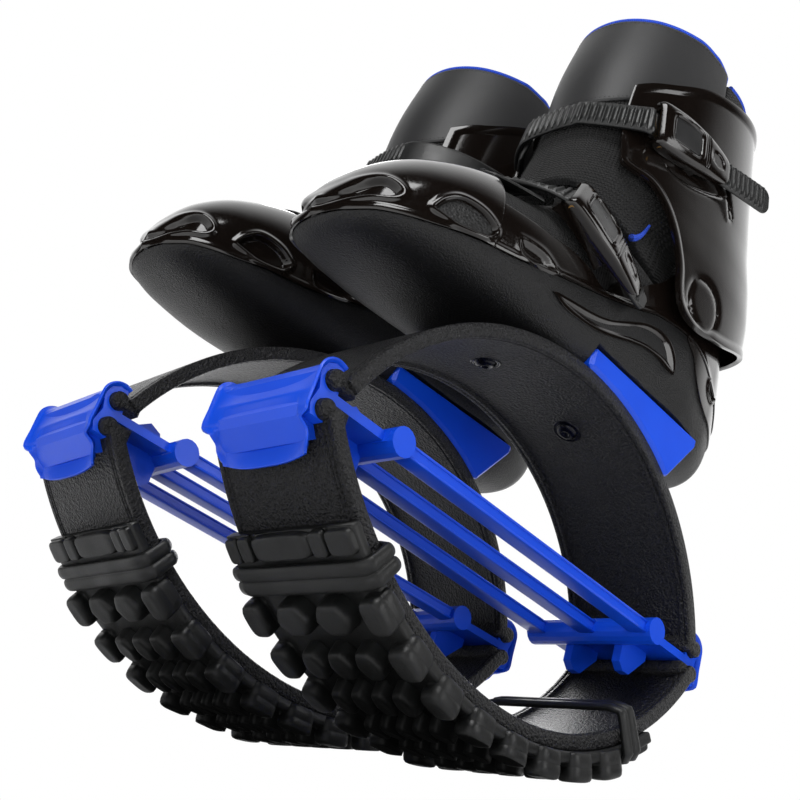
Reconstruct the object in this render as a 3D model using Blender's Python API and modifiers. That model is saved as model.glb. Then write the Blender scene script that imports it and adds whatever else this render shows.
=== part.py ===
"""A pair of jumping shoes: buckled boots on sprung frames of two bowed leaves held by a tension spring.

Metres, +Z up, toes towards -Y, +X towards the wearer's left. One shoe is modelled once, as a left shoe
whose own frame has its origin at the middle of the tension spring, and the right shoe is its mirror image.
"""

import math

import bmesh
import bpy
import numpy as np
from mathutils import Matrix, Vector

for old in list(bpy.data.objects):
    bpy.data.objects.remove(old, do_unlink=True)

# The pair as it stands
SHOE_SPACING = 0.1246
SHOE_STAGGER = 0.022
PAIR_SHIFT = 0.0014
TOE_OUT = math.radians(2)
CLEARANCE = 0.0003
CUT_OVERRUN = 0.02

# Bowed leaves
BOW_WIDTH = 0.080
BOW_THICKNESS = 0.0075
BOW_RIM = 0.006
BOW_RECESS = 0.0015
UPPER_RISE = 0.09825
LOWER_RISE = 0.08275
UPPER_HALF_CHORD = 0.134
LOWER_HALF_CHORD = 0.138
BOW_LEAN = 0.006
BEAD_OFFSET = 0.007
BEAD_REACH = 0.141
BEAD_RADIUS = 0.0045
BEAD_LENGTH = 0.077
TAB_THICKNESS = 0.006

# Tension spring
BAR_SPACING = 0.033
BAR_WIDTH = 0.009
BAR_HEIGHT = 0.006
ROD_REACH = 0.100
ROD_RADIUS = 0.007
ROD_END = 0.003
WEB_THICKNESS = 0.0044
HEAD_WIDTH = 0.069
HEAD_WALL = 0.0028
HEAD_SKIRT = 0.010
HEAD_STEP = 0.006
HEAD_STEP_DROP = 0.012
FIN_SPACING = 0.016
FIN_THICKNESS = 0.005
FIN_LENGTH = 0.022
FIN_RISE = 0.013
FIN_DROP = 0.019

# Tread
SHEET_THICKNESS = 0.0045
SHEET_EDGE = 0.0055
SHEET_RECESS_HALF_WIDTH = 0.027
SHEET_WIDTH = 0.084
LUG_HEIGHT = 0.009
LUG_LENGTH = 0.017
LUG_ROOT = 0.001
ROW_STEP = math.radians(8)
TREAD_MIDDLE = math.radians(-2.2)
LUG_ROW_COUNTS = (2, 3, 4, 5, 5, 4, 3, 2)
LUG_SPREAD = 0.052
LUG_FILL_SHARE = 0.74
SIDE_LUG_LENGTH = 0.017
SIDE_LUG_PROUD = 0.0045
SIDE_LUG_INSET = 0.008
FLOOR_TRIM = 0.0015
END_RIDGE_HEIGHT = 0.004
END_RIDGE_LENGTH = 0.012
BAND_WIDTH = 0.013
BAND_THICKNESS = 0.0028
BAND_CORNER = 0.0032
FRONT_BAND_ROOM = 0.0005
REAR_BAND_ROOM = 0.008

# Saddle and its bolts
SADDLE_WIDTH = 0.082
SADDLE_TOP = 0.115
SADDLE_FRONT = 0.002
SADDLE_BACK = 0.103
SADDLE_LIP = 0.004
SADDLE_HEEL = 0.080
SADDLE_CHAMFER = 0.002
FRONT_BOLT_REACH = -0.031
REAR_BOLT_REACH = 0.042
BOLT_HEAD_RADIUS = 0.007
BOLT_HEAD_HEIGHT = 0.0035
BOLT_SHANK_RADIUS = 0.003
BOLT_SPOT_DEPTH = 0.0008
BOLT_BITE = 0.0032

# Boot
BOOT_LENGTH = 0.295
BOOT_BACK = 0.143
BOOT_HALF_WIDTH = 0.050
TOE_DROP = 0.010
HULL_HEIGHT = 0.140
TOE_SHIFT = 0.010
SHELL_WALL = 0.0035
LINER_WALL = 0.0045
SOLE_FLOOR = 0.006
SADDLE_COVER = 0.0045
INSOLE_THICKNESS = 0.004
HULL_SIDES = 18

# Shaft of the boot
CUFF_BASE = 0.160
CUFF_HEIGHT = 0.200
CUFF_FRONT = -0.044
CUFF_DEPTH = 0.188
CUFF_HALF_WIDTH = 0.053
CUFF_WALL = 0.003
ANKLE_INSET = 0.010
ANKLE_BACK_INSET = 0.019
SHAFT_LINER_WALL = 0.006
SHAFT_SIDES = 20
TONGUE_EDGE = 0.057
RIVET_REACH = 0.064
RIVET_RISE = 0.018
RIVET_HEAD_RADIUS = 0.0075
RIVET_HEAD_HEIGHT = 0.003
RIVET_SHANK_RADIUS = 0.004
RIVET_FLANGE_RADIUS = 0.0055
RIVET_FLANGE_HEIGHT = 0.001
RIVET_ROOM = 0.0008

# Straps and buckles
STRAP_WIDTH = 0.018
STRAP_THICKNESS = 0.0024
PAD_WIDTH = 0.026
PAD_THICKNESS = 0.0036
PLATE_WIDTH = 0.042
PLATE_THICKNESS = 0.0025
PLATE_FRONT = -0.097
PLATE_LOWER_EDGE = 0.134
PIN_RADIUS = 0.0015
LEVER_LENGTH = 0.060
LEVER_HALF_WIDTH = 0.0153
LEVER_WALL = 0.003
LEVER_TOP = 0.0062
LEVER_DEPTH = 0.0034
LEVER_ROOM = 0.034
LEVER_HEEL = 0.004
WINDOW_DEPTH = 0.001
WINDOW_LENGTH = 0.026
WINDOW_HALF_WIDTH = 0.0095
BASE_LENGTH = 0.034
BASE_HEEL = 0.0045
STRAP_ENTRY = 0.010
BASE_TOP = 0.0046
BASE_DEPTH = 0.016
EAR_THICKNESS = 0.0022
EAR_LENGTH = 0.0058
STRAP_RIVET_HEAD_RADIUS = 0.0045
STRAP_RIVET_SHANK_RADIUS = 0.002
STRAP_RIVET_HEAD_HEIGHT = 0.0015

# Rows of the boot's hull, each a share of its length, half width, height of the underside and of the top
HULL_SHARES = np.array([
    (0.000, 0.14, 0.050, 0.13, 0.080),
    (0.010, 0.40, 0.030, 0.21, 0.070),
    (0.041, 0.64, 0.010, 0.31, 0.060),
    (0.108, 0.82, 0.000, 0.43, 0.045),
    (0.203, 0.94, 0.000, 0.53, 0.045),
    (0.312, 0.98, 0.010, 0.60, 0.060),
    (0.414, 0.96, 0.015, 0.75, 0.100),
    (0.515, 0.93, 0.020, 0.94, 0.160),
    (0.651, 0.94, 0.035, 1.00, 0.196),
    (0.769, 0.96, 0.045, 0.985, 0.196),
    (0.871, 0.83, 0.045, 0.93, 0.196),
    (0.946, 0.60, 0.065, 0.80, 0.207),
    (0.986, 0.40, 0.130, 0.69, 0.230),
    (1.000, 0.18, 0.230, 0.56, 0.270),
])
HULL_WAIST_SHARE = 0.38
INSOLE_WIDTH_SHARE = 0.64
TOE_SHIFT_SHARE = 0.35

# Side lines of the boot, each point a share of the boot's length and of the hull's height
PARTING_SHARES = [
    (-0.06, 0.035), (0.01, 0.04), (0.04, 0.06), (0.10, 0.085), (0.173, 0.122), (0.268, 0.160),
    (0.350, 0.219), (0.453, 0.297), (0.583, 0.401), (0.650, 0.458), (0.74, 0.485), (0.80, 0.455),
    (1.00, 0.34), (1.06, 0.34),
]
THROAT_SHARES = [
    (0.262, 0.72), (0.245, 0.60), (0.215, 0.43), (0.215, 0.325), (0.323, 0.344), (0.380, 0.365),
    (0.427, 0.368), (0.461, 0.352), (0.482, 0.345), (0.50, 0.362), (0.514, 0.43), (0.56, 0.455),
    (0.60, 0.54), (0.635, 0.60), (0.68, 0.715), (0.79, 0.745), (1.06, 0.77),
]
ANKLE_SPLIT_SHARES = [(0.24, 0.80), (0.36, 0.757), (0.73, 0.543), (1.06, 0.45)]
SHAFT_FOOT_SHARES = [(0.24, 0.93), (0.36, 0.875), (0.73, 0.565), (1.06, 0.50)]
VENT_SHARES = [(0.158, 0.168)]
INNER_VENT_SHARES = [(0.30, 0.24)]
VENT_LENGTH = 0.030
VENT_HEIGHT = 0.012
INNER_VENT_LENGTH = 0.040
INNER_VENT_HEIGHT = 0.014
TOE_SLOT_WIDTH = 0.048
TOE_SLOT_HEIGHT = 0.011
TOE_SLOT_SHARE = 0.125

# Rows of the cuff's outer face, each a share of its height, of its depth to front and back, of its half
# width and of the ankle's inset, then the power of its superellipse
CUFF_SHARES = np.array([
    (0.00, 0.000, 1.000, 1.000, 1.0, 2.7),
    (0.20, 0.031, 1.000, 1.000, 1.0, 2.7),
    (0.31, 0.052, 0.990, 0.990, 0.0, 2.6),
    (0.45, 0.073, 0.969, 0.972, 0.0, 2.3),
    (0.70, 0.097, 0.927, 0.953, 0.0, 2.15),
    (0.95, 0.136, 0.885, 0.943, 0.0, 2.1),
    (1.00, 0.144, 0.880, 0.943, 0.0, 2.1),
])

# Side outlines of the shaft, each point a share of the cuff's depth and height
CUFF_OUTLINE_SHARES = [
    (0.176, 0.625), (0.287, 0.695), (0.410, 0.775), (0.537, 0.82), (0.649, 0.855), (0.793, 0.89),
    (1.06, 0.91),
    (1.06, 0.20), (0.95, 0.15), (0.787, 0.07), (0.649, 0.02), (0.553, 0.008), (0.484, 0.02), (0.436, 0.06),
    (0.420, 0.125), (0.394, 0.185), (0.346, 0.235), (0.255, 0.298), (0.191, 0.305), (0.154, 0.33),
    (0.160, 0.435),
]
TONGUE_TOP_SHARES = [(-0.1, 0.93), (0.126, 0.935), (0.23, 0.95), (0.387, 0.965), (0.49, 0.95), (0.56, 0.915)]
COLLAR_TOP_SHARES = [(0.529, 0.925), (0.675, 0.95), (0.86, 0.985), (1.1, 0.99)]

SHOE_NAME = "jumping_shoes"
UPPER = 1
LOWER = -1


def colour(hex_value):
    """Linear red, green, blue and alpha of an sRGB hex colour."""
    channels = [(hex_value >> shift & 255) / 255 for shift in (16, 8, 0)]
    return [c / 12.92 if c <= 0.04045 else ((c + 0.055) / 1.055) ** 2.4 for c in channels] + [1.0]


def finish(name, hex_value, roughness, metallic=0.0):
    """A material with one Principled shader."""
    material = bpy.data.materials.new(name)
    material.use_nodes = True
    shader = material.node_tree.nodes["Principled BSDF"]
    shader.inputs["Base Color"].default_value = colour(hex_value)
    shader.inputs["Roughness"].default_value = roughness
    shader.inputs["Metallic"].default_value = metallic
    material.diffuse_color = colour(hex_value)
    return material


FINISHES = {
    "grained_black": finish("grained_black_plastic", 0x1B1B1C, 0.6),
    "gloss_black": finish("gloss_black_plastic", 0x0C0B0B, 0.12),
    "blue": finish("blue_plastic", 0x1F55E6, 0.35),
    "rubber": finish("black_rubber", 0x1D1E1E, 0.7),
    "knit": finish("black_knit", 0x161617, 0.9),
    "leather": finish("black_synthetic_leather", 0x222223, 0.5),
    "steel": finish("blackened_steel", 0x2A2A2C, 0.3, 1.0),
    "brass": finish("brass_pin", 0xB08850, 0.35, 1.0),
}


def linked(name, mesh):
    """A new object of this mesh, in the scene's own collection while it is worked on."""
    made = bpy.data.objects.new(name, mesh)
    bpy.context.scene.collection.objects.link(made)
    return made


def cleaned(mesh, turn):
    """Merges a mesh's doubled points and, with turn, turns the faces of a body without hollows outwards."""
    work = bmesh.new()
    work.from_mesh(mesh)
    bmesh.ops.remove_doubles(work, verts=work.verts, dist=CLEARANCE / 100)
    if turn:
        bmesh.ops.recalc_face_normals(work, faces=work.faces)
    work.to_mesh(mesh)
    work.free()


def lofted(name, rings):
    """A closed body through rings of points, all of the same count, with both ends capped."""
    rings = np.asarray(rings, float)
    count, sides = rings.shape[:2]
    first = np.arange(sides)
    second = np.roll(first, -1)
    faces = [tuple(first[::-1]), tuple(first + (count - 1) * sides)]
    for row in range(count - 1):
        low = row * sides
        high = low + sides
        faces += np.stack([first + low, second + low, second + high], axis=1).tolist()
        faces += np.stack([first + low, second + high, first + high], axis=1).tolist()
    mesh = bpy.data.meshes.new(name)
    mesh.from_pydata(rings.reshape(-1, 3).tolist(), [], [tuple(int(i) for i in face) for face in faces])
    cleaned(mesh, True)
    return linked(name, mesh)


def baked(source, turn=False):
    """Replaces an object by a plain mesh object of its evaluated shape."""
    bpy.context.view_layer.update()
    graph = bpy.context.evaluated_depsgraph_get()
    mesh = bpy.data.meshes.new_from_object(source.evaluated_get(graph))
    mesh.transform(source.matrix_world)
    name = source.name
    bpy.data.objects.remove(source, do_unlink=True)
    cleaned(mesh, turn)
    return linked(name, mesh)


def combined(base, others, operation):
    """The base with a Boolean of each other body in turn, which is then removed."""
    for other in others:
        step = base.modifiers.new(operation.lower(), "BOOLEAN")
        step.operation = operation
        step.object = other
        base = baked(base)
        bpy.data.objects.remove(other, do_unlink=True)
    return base


def slab(name, outline, half_width, placement):
    """A flat outline drawn as a filled 2D curve, extruded both ways by half_width and placed by a matrix."""
    curve = bpy.data.curves.new(name, "CURVE")
    curve.dimensions = "2D"
    curve.fill_mode = "BOTH"
    curve.extrude = half_width
    loops = outline if isinstance(outline[0][0], (tuple, list, np.ndarray)) else [outline]
    for loop in loops:
        spline = curve.splines.new("POLY")
        spline.points.add(len(loop) - 1)
        for point, (across, along) in zip(spline.points, loop):
            point.co = (across, along, 0, 1)
        spline.use_cyclic_u = True
    made = linked(name, curve)
    made.matrix_world = placement
    return baked(made, True)


SIDE_VIEW = Matrix(((0, 0, 1, 0), (1, 0, 0, 0), (0, 1, 0, 0), (0, 0, 0, 1)))
ACROSS_VIEW = Matrix(((-1, 0, 0, 0), (0, 0, 1, 0), (0, 1, 0, 0), (0, 0, 0, 1)))


def side_slab(name, outline, half_width, centre=0.0):
    """A slab whose outline is seen from the side, in y and z, centred across the shoe at x = centre."""
    return slab(name, outline, half_width, Matrix.Translation((centre, 0, 0)) @ SIDE_VIEW)


def block(name, low, high, placement=None):
    """A box between two corners."""
    work = bmesh.new()
    bmesh.ops.create_cube(work, size=1)
    size = Vector(high) - Vector(low)
    middle = (Vector(high) + Vector(low)) / 2
    bmesh.ops.transform(work, matrix=Matrix.Translation(middle) @ Matrix.Diagonal((*size, 1)),
                        verts=work.verts)
    mesh = bpy.data.meshes.new(name)
    work.to_mesh(mesh)
    work.free()
    if placement is not None:
        mesh.transform(placement)
    return linked(name, mesh)


def rod(name, start, end, radius, sides, second_radius=None):
    """A cylinder between two points, or with a second radius one of elliptical section."""
    start, end = Vector(start), Vector(end)
    work = bmesh.new()
    bmesh.ops.create_cone(work, cap_ends=True, segments=sides, radius1=radius, radius2=radius,
                          depth=(end - start).length)
    if second_radius:
        bmesh.ops.transform(work, matrix=Matrix.Diagonal((second_radius / radius, 1, 1, 1)),
                            verts=work.verts)
    turn = (end - start).to_track_quat("Z", "Y").to_matrix().to_4x4()
    bmesh.ops.transform(work, matrix=Matrix.Translation((start + end) / 2) @ turn, verts=work.verts)
    mesh = bpy.data.meshes.new(name)
    work.to_mesh(mesh)
    work.free()
    return linked(name, mesh)


def turned(name, profile, at, towards, steps):
    """A profile of (radius, height) points, top down, turned about an axis from at towards a direction."""
    mesh = bpy.data.meshes.new(name)
    edges = [(i, i + 1) for i in range(len(profile) - 1)]
    mesh.from_pydata([(radius, 0, height) for radius, height in profile], edges, [])
    made = linked(name, mesh)
    screw = made.modifiers.new("turn", "SCREW")
    screw.axis = "Z"
    screw.steps = steps
    screw.render_steps = steps
    screw.use_merge_vertices = True
    screw.merge_threshold = CLEARANCE / 10
    made.matrix_world = Matrix.Translation(at) @ Vector(towards).to_track_quat("Z", "Y").to_matrix().to_4x4()
    return baked(made, True)


def chamfered(body, width):
    """The body with its sharp edges cut by one flat of this width."""
    bevel = body.modifiers.new("edges", "BEVEL")
    bevel.width = width
    bevel.segments = 1
    bevel.limit_method = "ANGLE"
    bevel.angle_limit = math.radians(30)
    return baked(body)


def bow_radius(side):
    """Radius of a bow's middle surface, from its half chord and its rise above its beads."""
    chord = UPPER_HALF_CHORD if side == UPPER else LOWER_HALF_CHORD
    sagitta = (UPPER_RISE if side == UPPER else LOWER_RISE) - BEAD_OFFSET
    return (chord ** 2 + sagitta ** 2) / (2 * sagitta)


def bow_end_angle(side):
    return math.asin((UPPER_HALF_CHORD if side == UPPER else LOWER_HALF_CHORD) / bow_radius(side))


def bow_arc(side, offset, angles):
    """Points (y, z) of a bow's arc, offset outwards from its middle, and its outward directions there.

    The arc is a circle about a point below (above) the middle plane, leaning back in step with its height.
    """
    angles = np.asarray(angles, float)
    radius = bow_radius(side)
    sagitta = (UPPER_RISE if side == UPPER else LOWER_RISE) - BEAD_OFFSET
    up = (radius + offset) * np.cos(angles) - radius + sagitta
    along = (radius + offset) * np.sin(angles) + BOW_LEAN * up / sagitta
    points = np.stack([along, side * (BEAD_OFFSET + up)], axis=-1)
    return points, np.stack([np.sin(angles), side * np.cos(angles)], axis=-1)


def arc_strip(name, side, angles, section):
    """A section of (x, offset) points carried along a bow's arc."""
    rings = []
    for across, offset in section:
        points, _ = bow_arc(side, offset, angles)
        rings.append(np.column_stack([np.full(len(points), across), points]))
    return lofted(name, np.transpose(rings, (1, 0, 2)))


def bow_frame(side, offset, angle):
    """A matrix whose axes are along the arc, across the shoe and outwards, at a place on a bow's arc."""
    point, normal = bow_arc(side, offset, angle)
    out = Vector((0, *normal))
    across = Vector((1, 0, 0))
    along = across.cross(out)
    return Matrix(((*[along.x, across.x, out.x], 0), (*[along.y, across.y, out.y], point[0]),
                   (*[along.z, across.z, out.z], point[1]), (0, 0, 0, 1)))


def angle_at_reach(side, reach):
    """The angle along a bow's arc at which its middle stands over a given y, leaving its lean aside."""
    return math.asin(reach / bow_radius(side))


MID_HEIGHT = LOWER_RISE + BOW_THICKNESS / 2 + CLEARANCE + SHEET_THICKNESS + LUG_HEIGHT - FLOOR_TRIM
SADDLE_ROOT = UPPER_RISE * 0.6
BOW_STATIONS = 17


def bow(side):
    """A bowed leaf with rimmed edges, and at each end a tab turned outwards into a round bead."""
    half, thick = BOW_WIDTH / 2, BOW_THICKNESS / 2
    section = [(-half, thick), (half, thick), (half, -thick), (half - BOW_RIM, -thick),
               (half - BOW_RIM, BOW_RECESS - thick), (BOW_RIM - half, BOW_RECESS - thick),
               (BOW_RIM - half, -thick), (-half, -thick)]
    end = bow_end_angle(side)
    body = arc_strip("bow", side, np.linspace(-end, end, BOW_STATIONS), section)
    chord = UPPER_HALF_CHORD if side == UPPER else LOWER_HALF_CHORD
    beads = []
    for way in (-1, 1):
        reach, height = way * BEAD_REACH, side * BEAD_OFFSET
        inner = way * (chord - thick / 2)
        beads.append(block("tab", (-BEAD_LENGTH / 2, min(inner, reach), height - TAB_THICKNESS / 2),
                           (BEAD_LENGTH / 2, max(inner, reach), height + TAB_THICKNESS / 2)))
        beads.append(rod("bead", (-BEAD_LENGTH / 2, reach, height), (BEAD_LENGTH / 2, reach, height),
                         BEAD_RADIUS, 12))
    body = combined(body, beads, "UNION")
    if side == UPPER:
        for reach in (FRONT_BOLT_REACH, REAR_BOLT_REACH):
            body = combined(body, [bolt_hole(reach), bolt_spot(reach)], "DIFFERENCE")
    return body


def bow_seat(side, offset, reach_share):
    """A solid that fills a bow's arc out to an offset, to cut what rests on the bow."""
    end = bow_end_angle(side) * reach_share
    points, _ = bow_arc(side, offset, np.linspace(-end, end, BOW_STATIONS))
    return side_slab("seat", points.tolist(), BOOT_HALF_WIDTH + CUT_OVERRUN)


def tension_spring():
    """Three bars and two cross rods between two hooked heads, in one moulding."""
    bar_end = ROD_REACH + ROD_RADIUS
    parts = []
    for column in (-1, 0, 1):
        parts.append(block("bar", (column * BAR_SPACING - BAR_WIDTH / 2, -bar_end, -BAR_HEIGHT / 2),
                           (column * BAR_SPACING + BAR_WIDTH / 2, bar_end, BAR_HEIGHT / 2)))
    rod_half = BAR_SPACING + BAR_WIDTH / 2 + ROD_END
    for way in (-1, 1):
        parts.append(rod("cross_rod", (-rod_half, way * ROD_REACH, 0), (rod_half, way * ROD_REACH, 0),
                         ROD_RADIUS, 16))
        parts.append(spring_head(way))
    return combined(parts[0], parts[1:], "UNION")


def lobe(side, degrees):
    """A point on the head's outer face round a bead, at an angle from straight outwards."""
    radius = BEAD_RADIUS + CLEARANCE + HEAD_WALL
    turn = math.radians(degrees)
    return BEAD_REACH + radius * math.cos(turn), side * (BEAD_OFFSET + radius * math.sin(turn))


def spring_head(way):
    """A web from the cross rod to a clip round both beads, with a skirt down over the lower bow."""
    web = WEB_THICKNESS / 2
    skirt_angle = bow_end_angle(LOWER) - HEAD_SKIRT / bow_radius(LOWER)
    skirt, skirt_out = bow_arc(LOWER, 0, skirt_angle)
    skirt_outer = skirt + skirt_out * (BOW_THICKNESS / 2 + CLEARANCE + HEAD_WALL)
    outline = [(ROD_REACH, web), (BEAD_REACH - BEAD_RADIUS, web), lobe(UPPER, 115), lobe(UPPER, 80),
               lobe(UPPER, 45), lobe(UPPER, 5), (BEAD_REACH + BEAD_RADIUS + CLEARANCE * 3, 0),
               lobe(LOWER, 5),
               lobe(LOWER, 40), tuple(skirt_outer), tuple(skirt), (LOWER_HALF_CHORD, -BEAD_OFFSET),
               (LOWER_HALF_CHORD, -web), (ROD_REACH, -web)]
    outline = [(way * reach, height) for reach, height in outline]
    head = side_slab("head", outline, HEAD_WIDTH / 2)
    cutters = []
    overhang = HEAD_WIDTH / 2 + CUT_OVERRUN
    for side in (UPPER, LOWER):
        end = bow_end_angle(side)
        room = BOW_THICKNESS / 2 + CLEARANCE
        section = [(-overhang, -room), (overhang, -room), (overhang, room), (-overhang, room)]
        cutters.append(arc_strip("leg", side, way * np.linspace(end * 0.7, end, 7), section))
        seat = (way * BEAD_REACH, side * BEAD_OFFSET)
        cutters.append(rod("seat", (-overhang, *seat), (overhang, *seat), BEAD_RADIUS + CLEARANCE, 16))
        inner = way * (LOWER_HALF_CHORD - BOW_THICKNESS * 2)
        slot = TAB_THICKNESS / 2 + CLEARANCE
        cutters.append(block("slot", (-overhang, min(inner, seat[0]), seat[1] - slot),
                             (overhang, max(inner, seat[0]), seat[1] + slot)))
    for edge in (-1, 1):
        step = HEAD_WIDTH / 2 - HEAD_STEP
        sides = sorted((edge * step, edge * overhang))
        far = way * (BEAD_REACH + CUT_OVERRUN)
        cutters.append(block("step", (sides[0], min(0, far), -HEAD_WIDTH),
                             (sides[1], max(0, far), -HEAD_STEP_DROP)))
    head = combined(head, cutters, "DIFFERENCE")
    fins = []
    for column in (-1, 1):
        start = ROD_REACH + ROD_RADIUS * 0.4
        fin = [(start, 0), (start, -FIN_DROP * 0.8), (start + FIN_LENGTH * 0.2, -FIN_DROP),
               (start + FIN_LENGTH * 0.45, -FIN_DROP), (start + FIN_LENGTH, -FIN_DROP * 0.35),
               (start + FIN_LENGTH, 0),
               (start + FIN_LENGTH * 0.85, FIN_RISE * 0.6), (start + FIN_LENGTH * 0.5, FIN_RISE),
               (start + FIN_LENGTH * 0.2, FIN_RISE * 0.8)]
        fins.append(side_slab("fin", [(way * reach, height) for reach, height in fin], FIN_THICKNESS / 2,
                              column * FIN_SPACING))
    return combined(head, fins, "UNION")


SHEET_INNER = BOW_THICKNESS / 2 + CLEARANCE
SHEET_OUTER = SHEET_INNER + SHEET_THICKNESS
SHEET_SHOULDER = SHEET_INNER + SHEET_EDGE
TIP = SHEET_OUTER + LUG_HEIGHT
LAST_ROW = ROW_STEP * (len(LUG_ROW_COUNTS) - 1) / 2
BAND_ANGLE = LAST_ROW + (SIDE_LUG_LENGTH / 2 + BAND_WIDTH / 2 + 3 * CLEARANCE) / bow_radius(LOWER)
RIDGE_ANGLE = BAND_ANGLE + ((BAND_WIDTH + END_RIDGE_LENGTH) / 2 + 4 * CLEARANCE) / bow_radius(LOWER)
TREAD_END = RIDGE_ANGLE + END_RIDGE_LENGTH / 2 / bow_radius(LOWER)


def tread():
    """A rubber sheet round the lower bow with rows of lugs, cut flat where it stands on the floor."""
    half = SHEET_WIDTH / 2
    trough = SHEET_RECESS_HALF_WIDTH
    section = [(-half, SHEET_INNER), (half, SHEET_INNER), (half, SHEET_SHOULDER), (trough, SHEET_SHOULDER),
               (trough, SHEET_OUTER), (-trough, SHEET_OUTER), (-trough, SHEET_SHOULDER),
               (-half, SHEET_SHOULDER)]
    angles = TREAD_MIDDLE + np.linspace(-TREAD_END, TREAD_END, 15)
    sheet = arc_strip("tread", LOWER, angles, section)
    lugs = []
    outer = BOW_WIDTH / 2 + CLEARANCE + SIDE_LUG_PROUD
    inner = BOW_WIDTH / 2 - SIDE_LUG_INSET
    turn = Matrix(((0, 0, 1, 0), (1, 0, 0, 0), (0, 1, 0, 0), (0, 0, 0, 1)))
    for row, count in enumerate(LUG_ROW_COUNTS):
        place = bow_frame(LOWER, 0, TREAD_MIDDLE + row * ROW_STEP - LAST_ROW)
        pitch = LUG_SPREAD / count
        for column in range(count):
            across = (column - (count - 1) / 2) * pitch
            lugs.append(centre_lug(place @ Matrix.Translation((0, across, SHEET_OUTER)),
                                   pitch * LUG_FILL_SHARE))
        for way in (-1, 1):
            profile = [(inner, SHEET_SHOULDER - LUG_ROOT), (inner, TIP), (outer, TIP), (outer, SHEET_INNER),
                       (half - LUG_ROOT, SHEET_INNER), (half - LUG_ROOT, SHEET_SHOULDER - LUG_ROOT)]
            profile = [(way * across, height) for across, height in profile]
            lugs.append(slab("side_lug", profile, SIDE_LUG_LENGTH / 2, place @ turn))
    for way in (-1, 1):
        span = END_RIDGE_LENGTH / 2 / bow_radius(LOWER)
        root = SHEET_OUTER - LUG_ROOT
        ridge = [(-half, root), (half, root), (half, SHEET_OUTER + END_RIDGE_HEIGHT),
                 (-half, SHEET_OUTER + END_RIDGE_HEIGHT)]
        angles = TREAD_MIDDLE + way * np.linspace(RIDGE_ANGLE - span, RIDGE_ANGLE + span, 2)
        lugs.append(arc_strip("ridge", LOWER, angles, ridge))
    made = combined(sheet, [joined(lugs)], "UNION")
    floor = block("floor", (-BOW_WIDTH, -BOOT_LENGTH / 2, -MID_HEIGHT - CUT_OVERRUN),
                  (BOW_WIDTH, BOOT_LENGTH / 2, -MID_HEIGHT))
    return combined(made, [floor], "DIFFERENCE")


def centre_lug(place, width):
    """A six-sided lug, longer along the tread than across it."""
    work = bmesh.new()
    height = LUG_HEIGHT + LUG_ROOT
    bmesh.ops.create_cone(work, cap_ends=True, segments=6, radius1=LUG_LENGTH / 2,
                          radius2=LUG_LENGTH / 2 * 0.88, depth=height)
    lift = Matrix.Translation((0, 0, height / 2 - LUG_ROOT))
    shape = lift @ Matrix.Diagonal((1, width / LUG_LENGTH, 1, 1)) @ Matrix.Rotation(math.pi / 2, 4, "Z")
    bmesh.ops.transform(work, matrix=place @ shape, verts=work.verts)
    mesh = bpy.data.meshes.new("lug")
    work.to_mesh(mesh)
    work.free()
    return linked("lug", mesh)


def joined(bodies):
    """Several bodies as one mesh object, still apart."""
    work = bmesh.new()
    for body in bodies:
        work.from_mesh(body.data)
        bpy.data.objects.remove(body, do_unlink=True)
    mesh = bpy.data.meshes.new("group")
    work.to_mesh(mesh)
    work.free()
    return linked("group", mesh)


def rounded_rectangle(low, high, corner):
    """Points round a rectangle with arcs of three points at its corners."""
    points = []
    for right, top in ((1, 0), (1, 1), (0, 1), (0, 0)):
        centre = (high[0] - corner if right else low[0] + corner,
                  high[1] - corner if top else low[1] + corner)
        start = {(1, 0): -90, (1, 1): 0, (0, 1): 90, (0, 0): 180}[(right, top)]
        for step in (0, 45, 90):
            turn = math.radians(start + step)
            points.append((centre[0] + corner * math.cos(turn), centre[1] + corner * math.sin(turn)))
    return points


def tread_band(way, room):
    """A rubber loop round the lower bow and the tread, standing off the bow's inner face by its room."""
    half = SHEET_WIDTH / 2 + CLEARANCE
    low = (-half, -BOW_THICKNESS / 2 - room)
    high = (half, SHEET_SHOULDER + 2 * CLEARANCE)
    inner = rounded_rectangle(low, high, CLEARANCE * 2)
    outer = rounded_rectangle((low[0] - BAND_THICKNESS, low[1] - BAND_THICKNESS),
                              (high[0] + BAND_THICKNESS, high[1] + BAND_THICKNESS), BAND_CORNER)
    place = bow_frame(LOWER, 0, TREAD_MIDDLE + way * BAND_ANGLE)
    turn = Matrix(((0, 0, 1, 0), (1, 0, 0, 0), (0, 1, 0, 0), (0, 0, 0, 1)))
    return slab("band", [outer, inner], BAND_WIDTH / 2, place @ turn)


def saddle():
    """A wedge with its underside on the upper bow, its top under the heel and its tail cut back."""
    outline = [(SADDLE_FRONT, SADDLE_ROOT), (SADDLE_FRONT, SADDLE_TOP), (SADDLE_BACK, SADDLE_TOP),
               (SADDLE_BACK, SADDLE_TOP - SADDLE_LIP), (SADDLE_HEEL, bow_arc(UPPER, 0, angle_at_reach(
                   UPPER, SADDLE_HEEL - BOW_LEAN))[0][1])]
    body = side_slab("saddle", outline, SADDLE_WIDTH / 2)
    body = combined(body, [bow_seat(UPPER, BOW_THICKNESS / 2 + CLEARANCE, 0.98)], "DIFFERENCE")
    body = chamfered(body, SADDLE_CHAMFER)
    return combined(body, [bolt_hole(REAR_BOLT_REACH)], "DIFFERENCE")


def bolt_line(reach):
    """Where a saddle bolt's head seats inside the upper bow, and the direction of its shank."""
    depth = BOW_RECESS + BOLT_SPOT_DEPTH - BOW_THICKNESS / 2
    point, out = bow_arc(UPPER, depth, angle_at_reach(UPPER, reach - BOW_LEAN))
    return Vector((0, *point)), Vector((0, *out))


def bolt_length(reach):
    seat, out = bolt_line(reach)
    top = SADDLE_TOP if reach > SADDLE_FRONT else seat.z + BOW_THICKNESS
    return (top + BOLT_BITE - seat.z) / out.z


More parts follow.
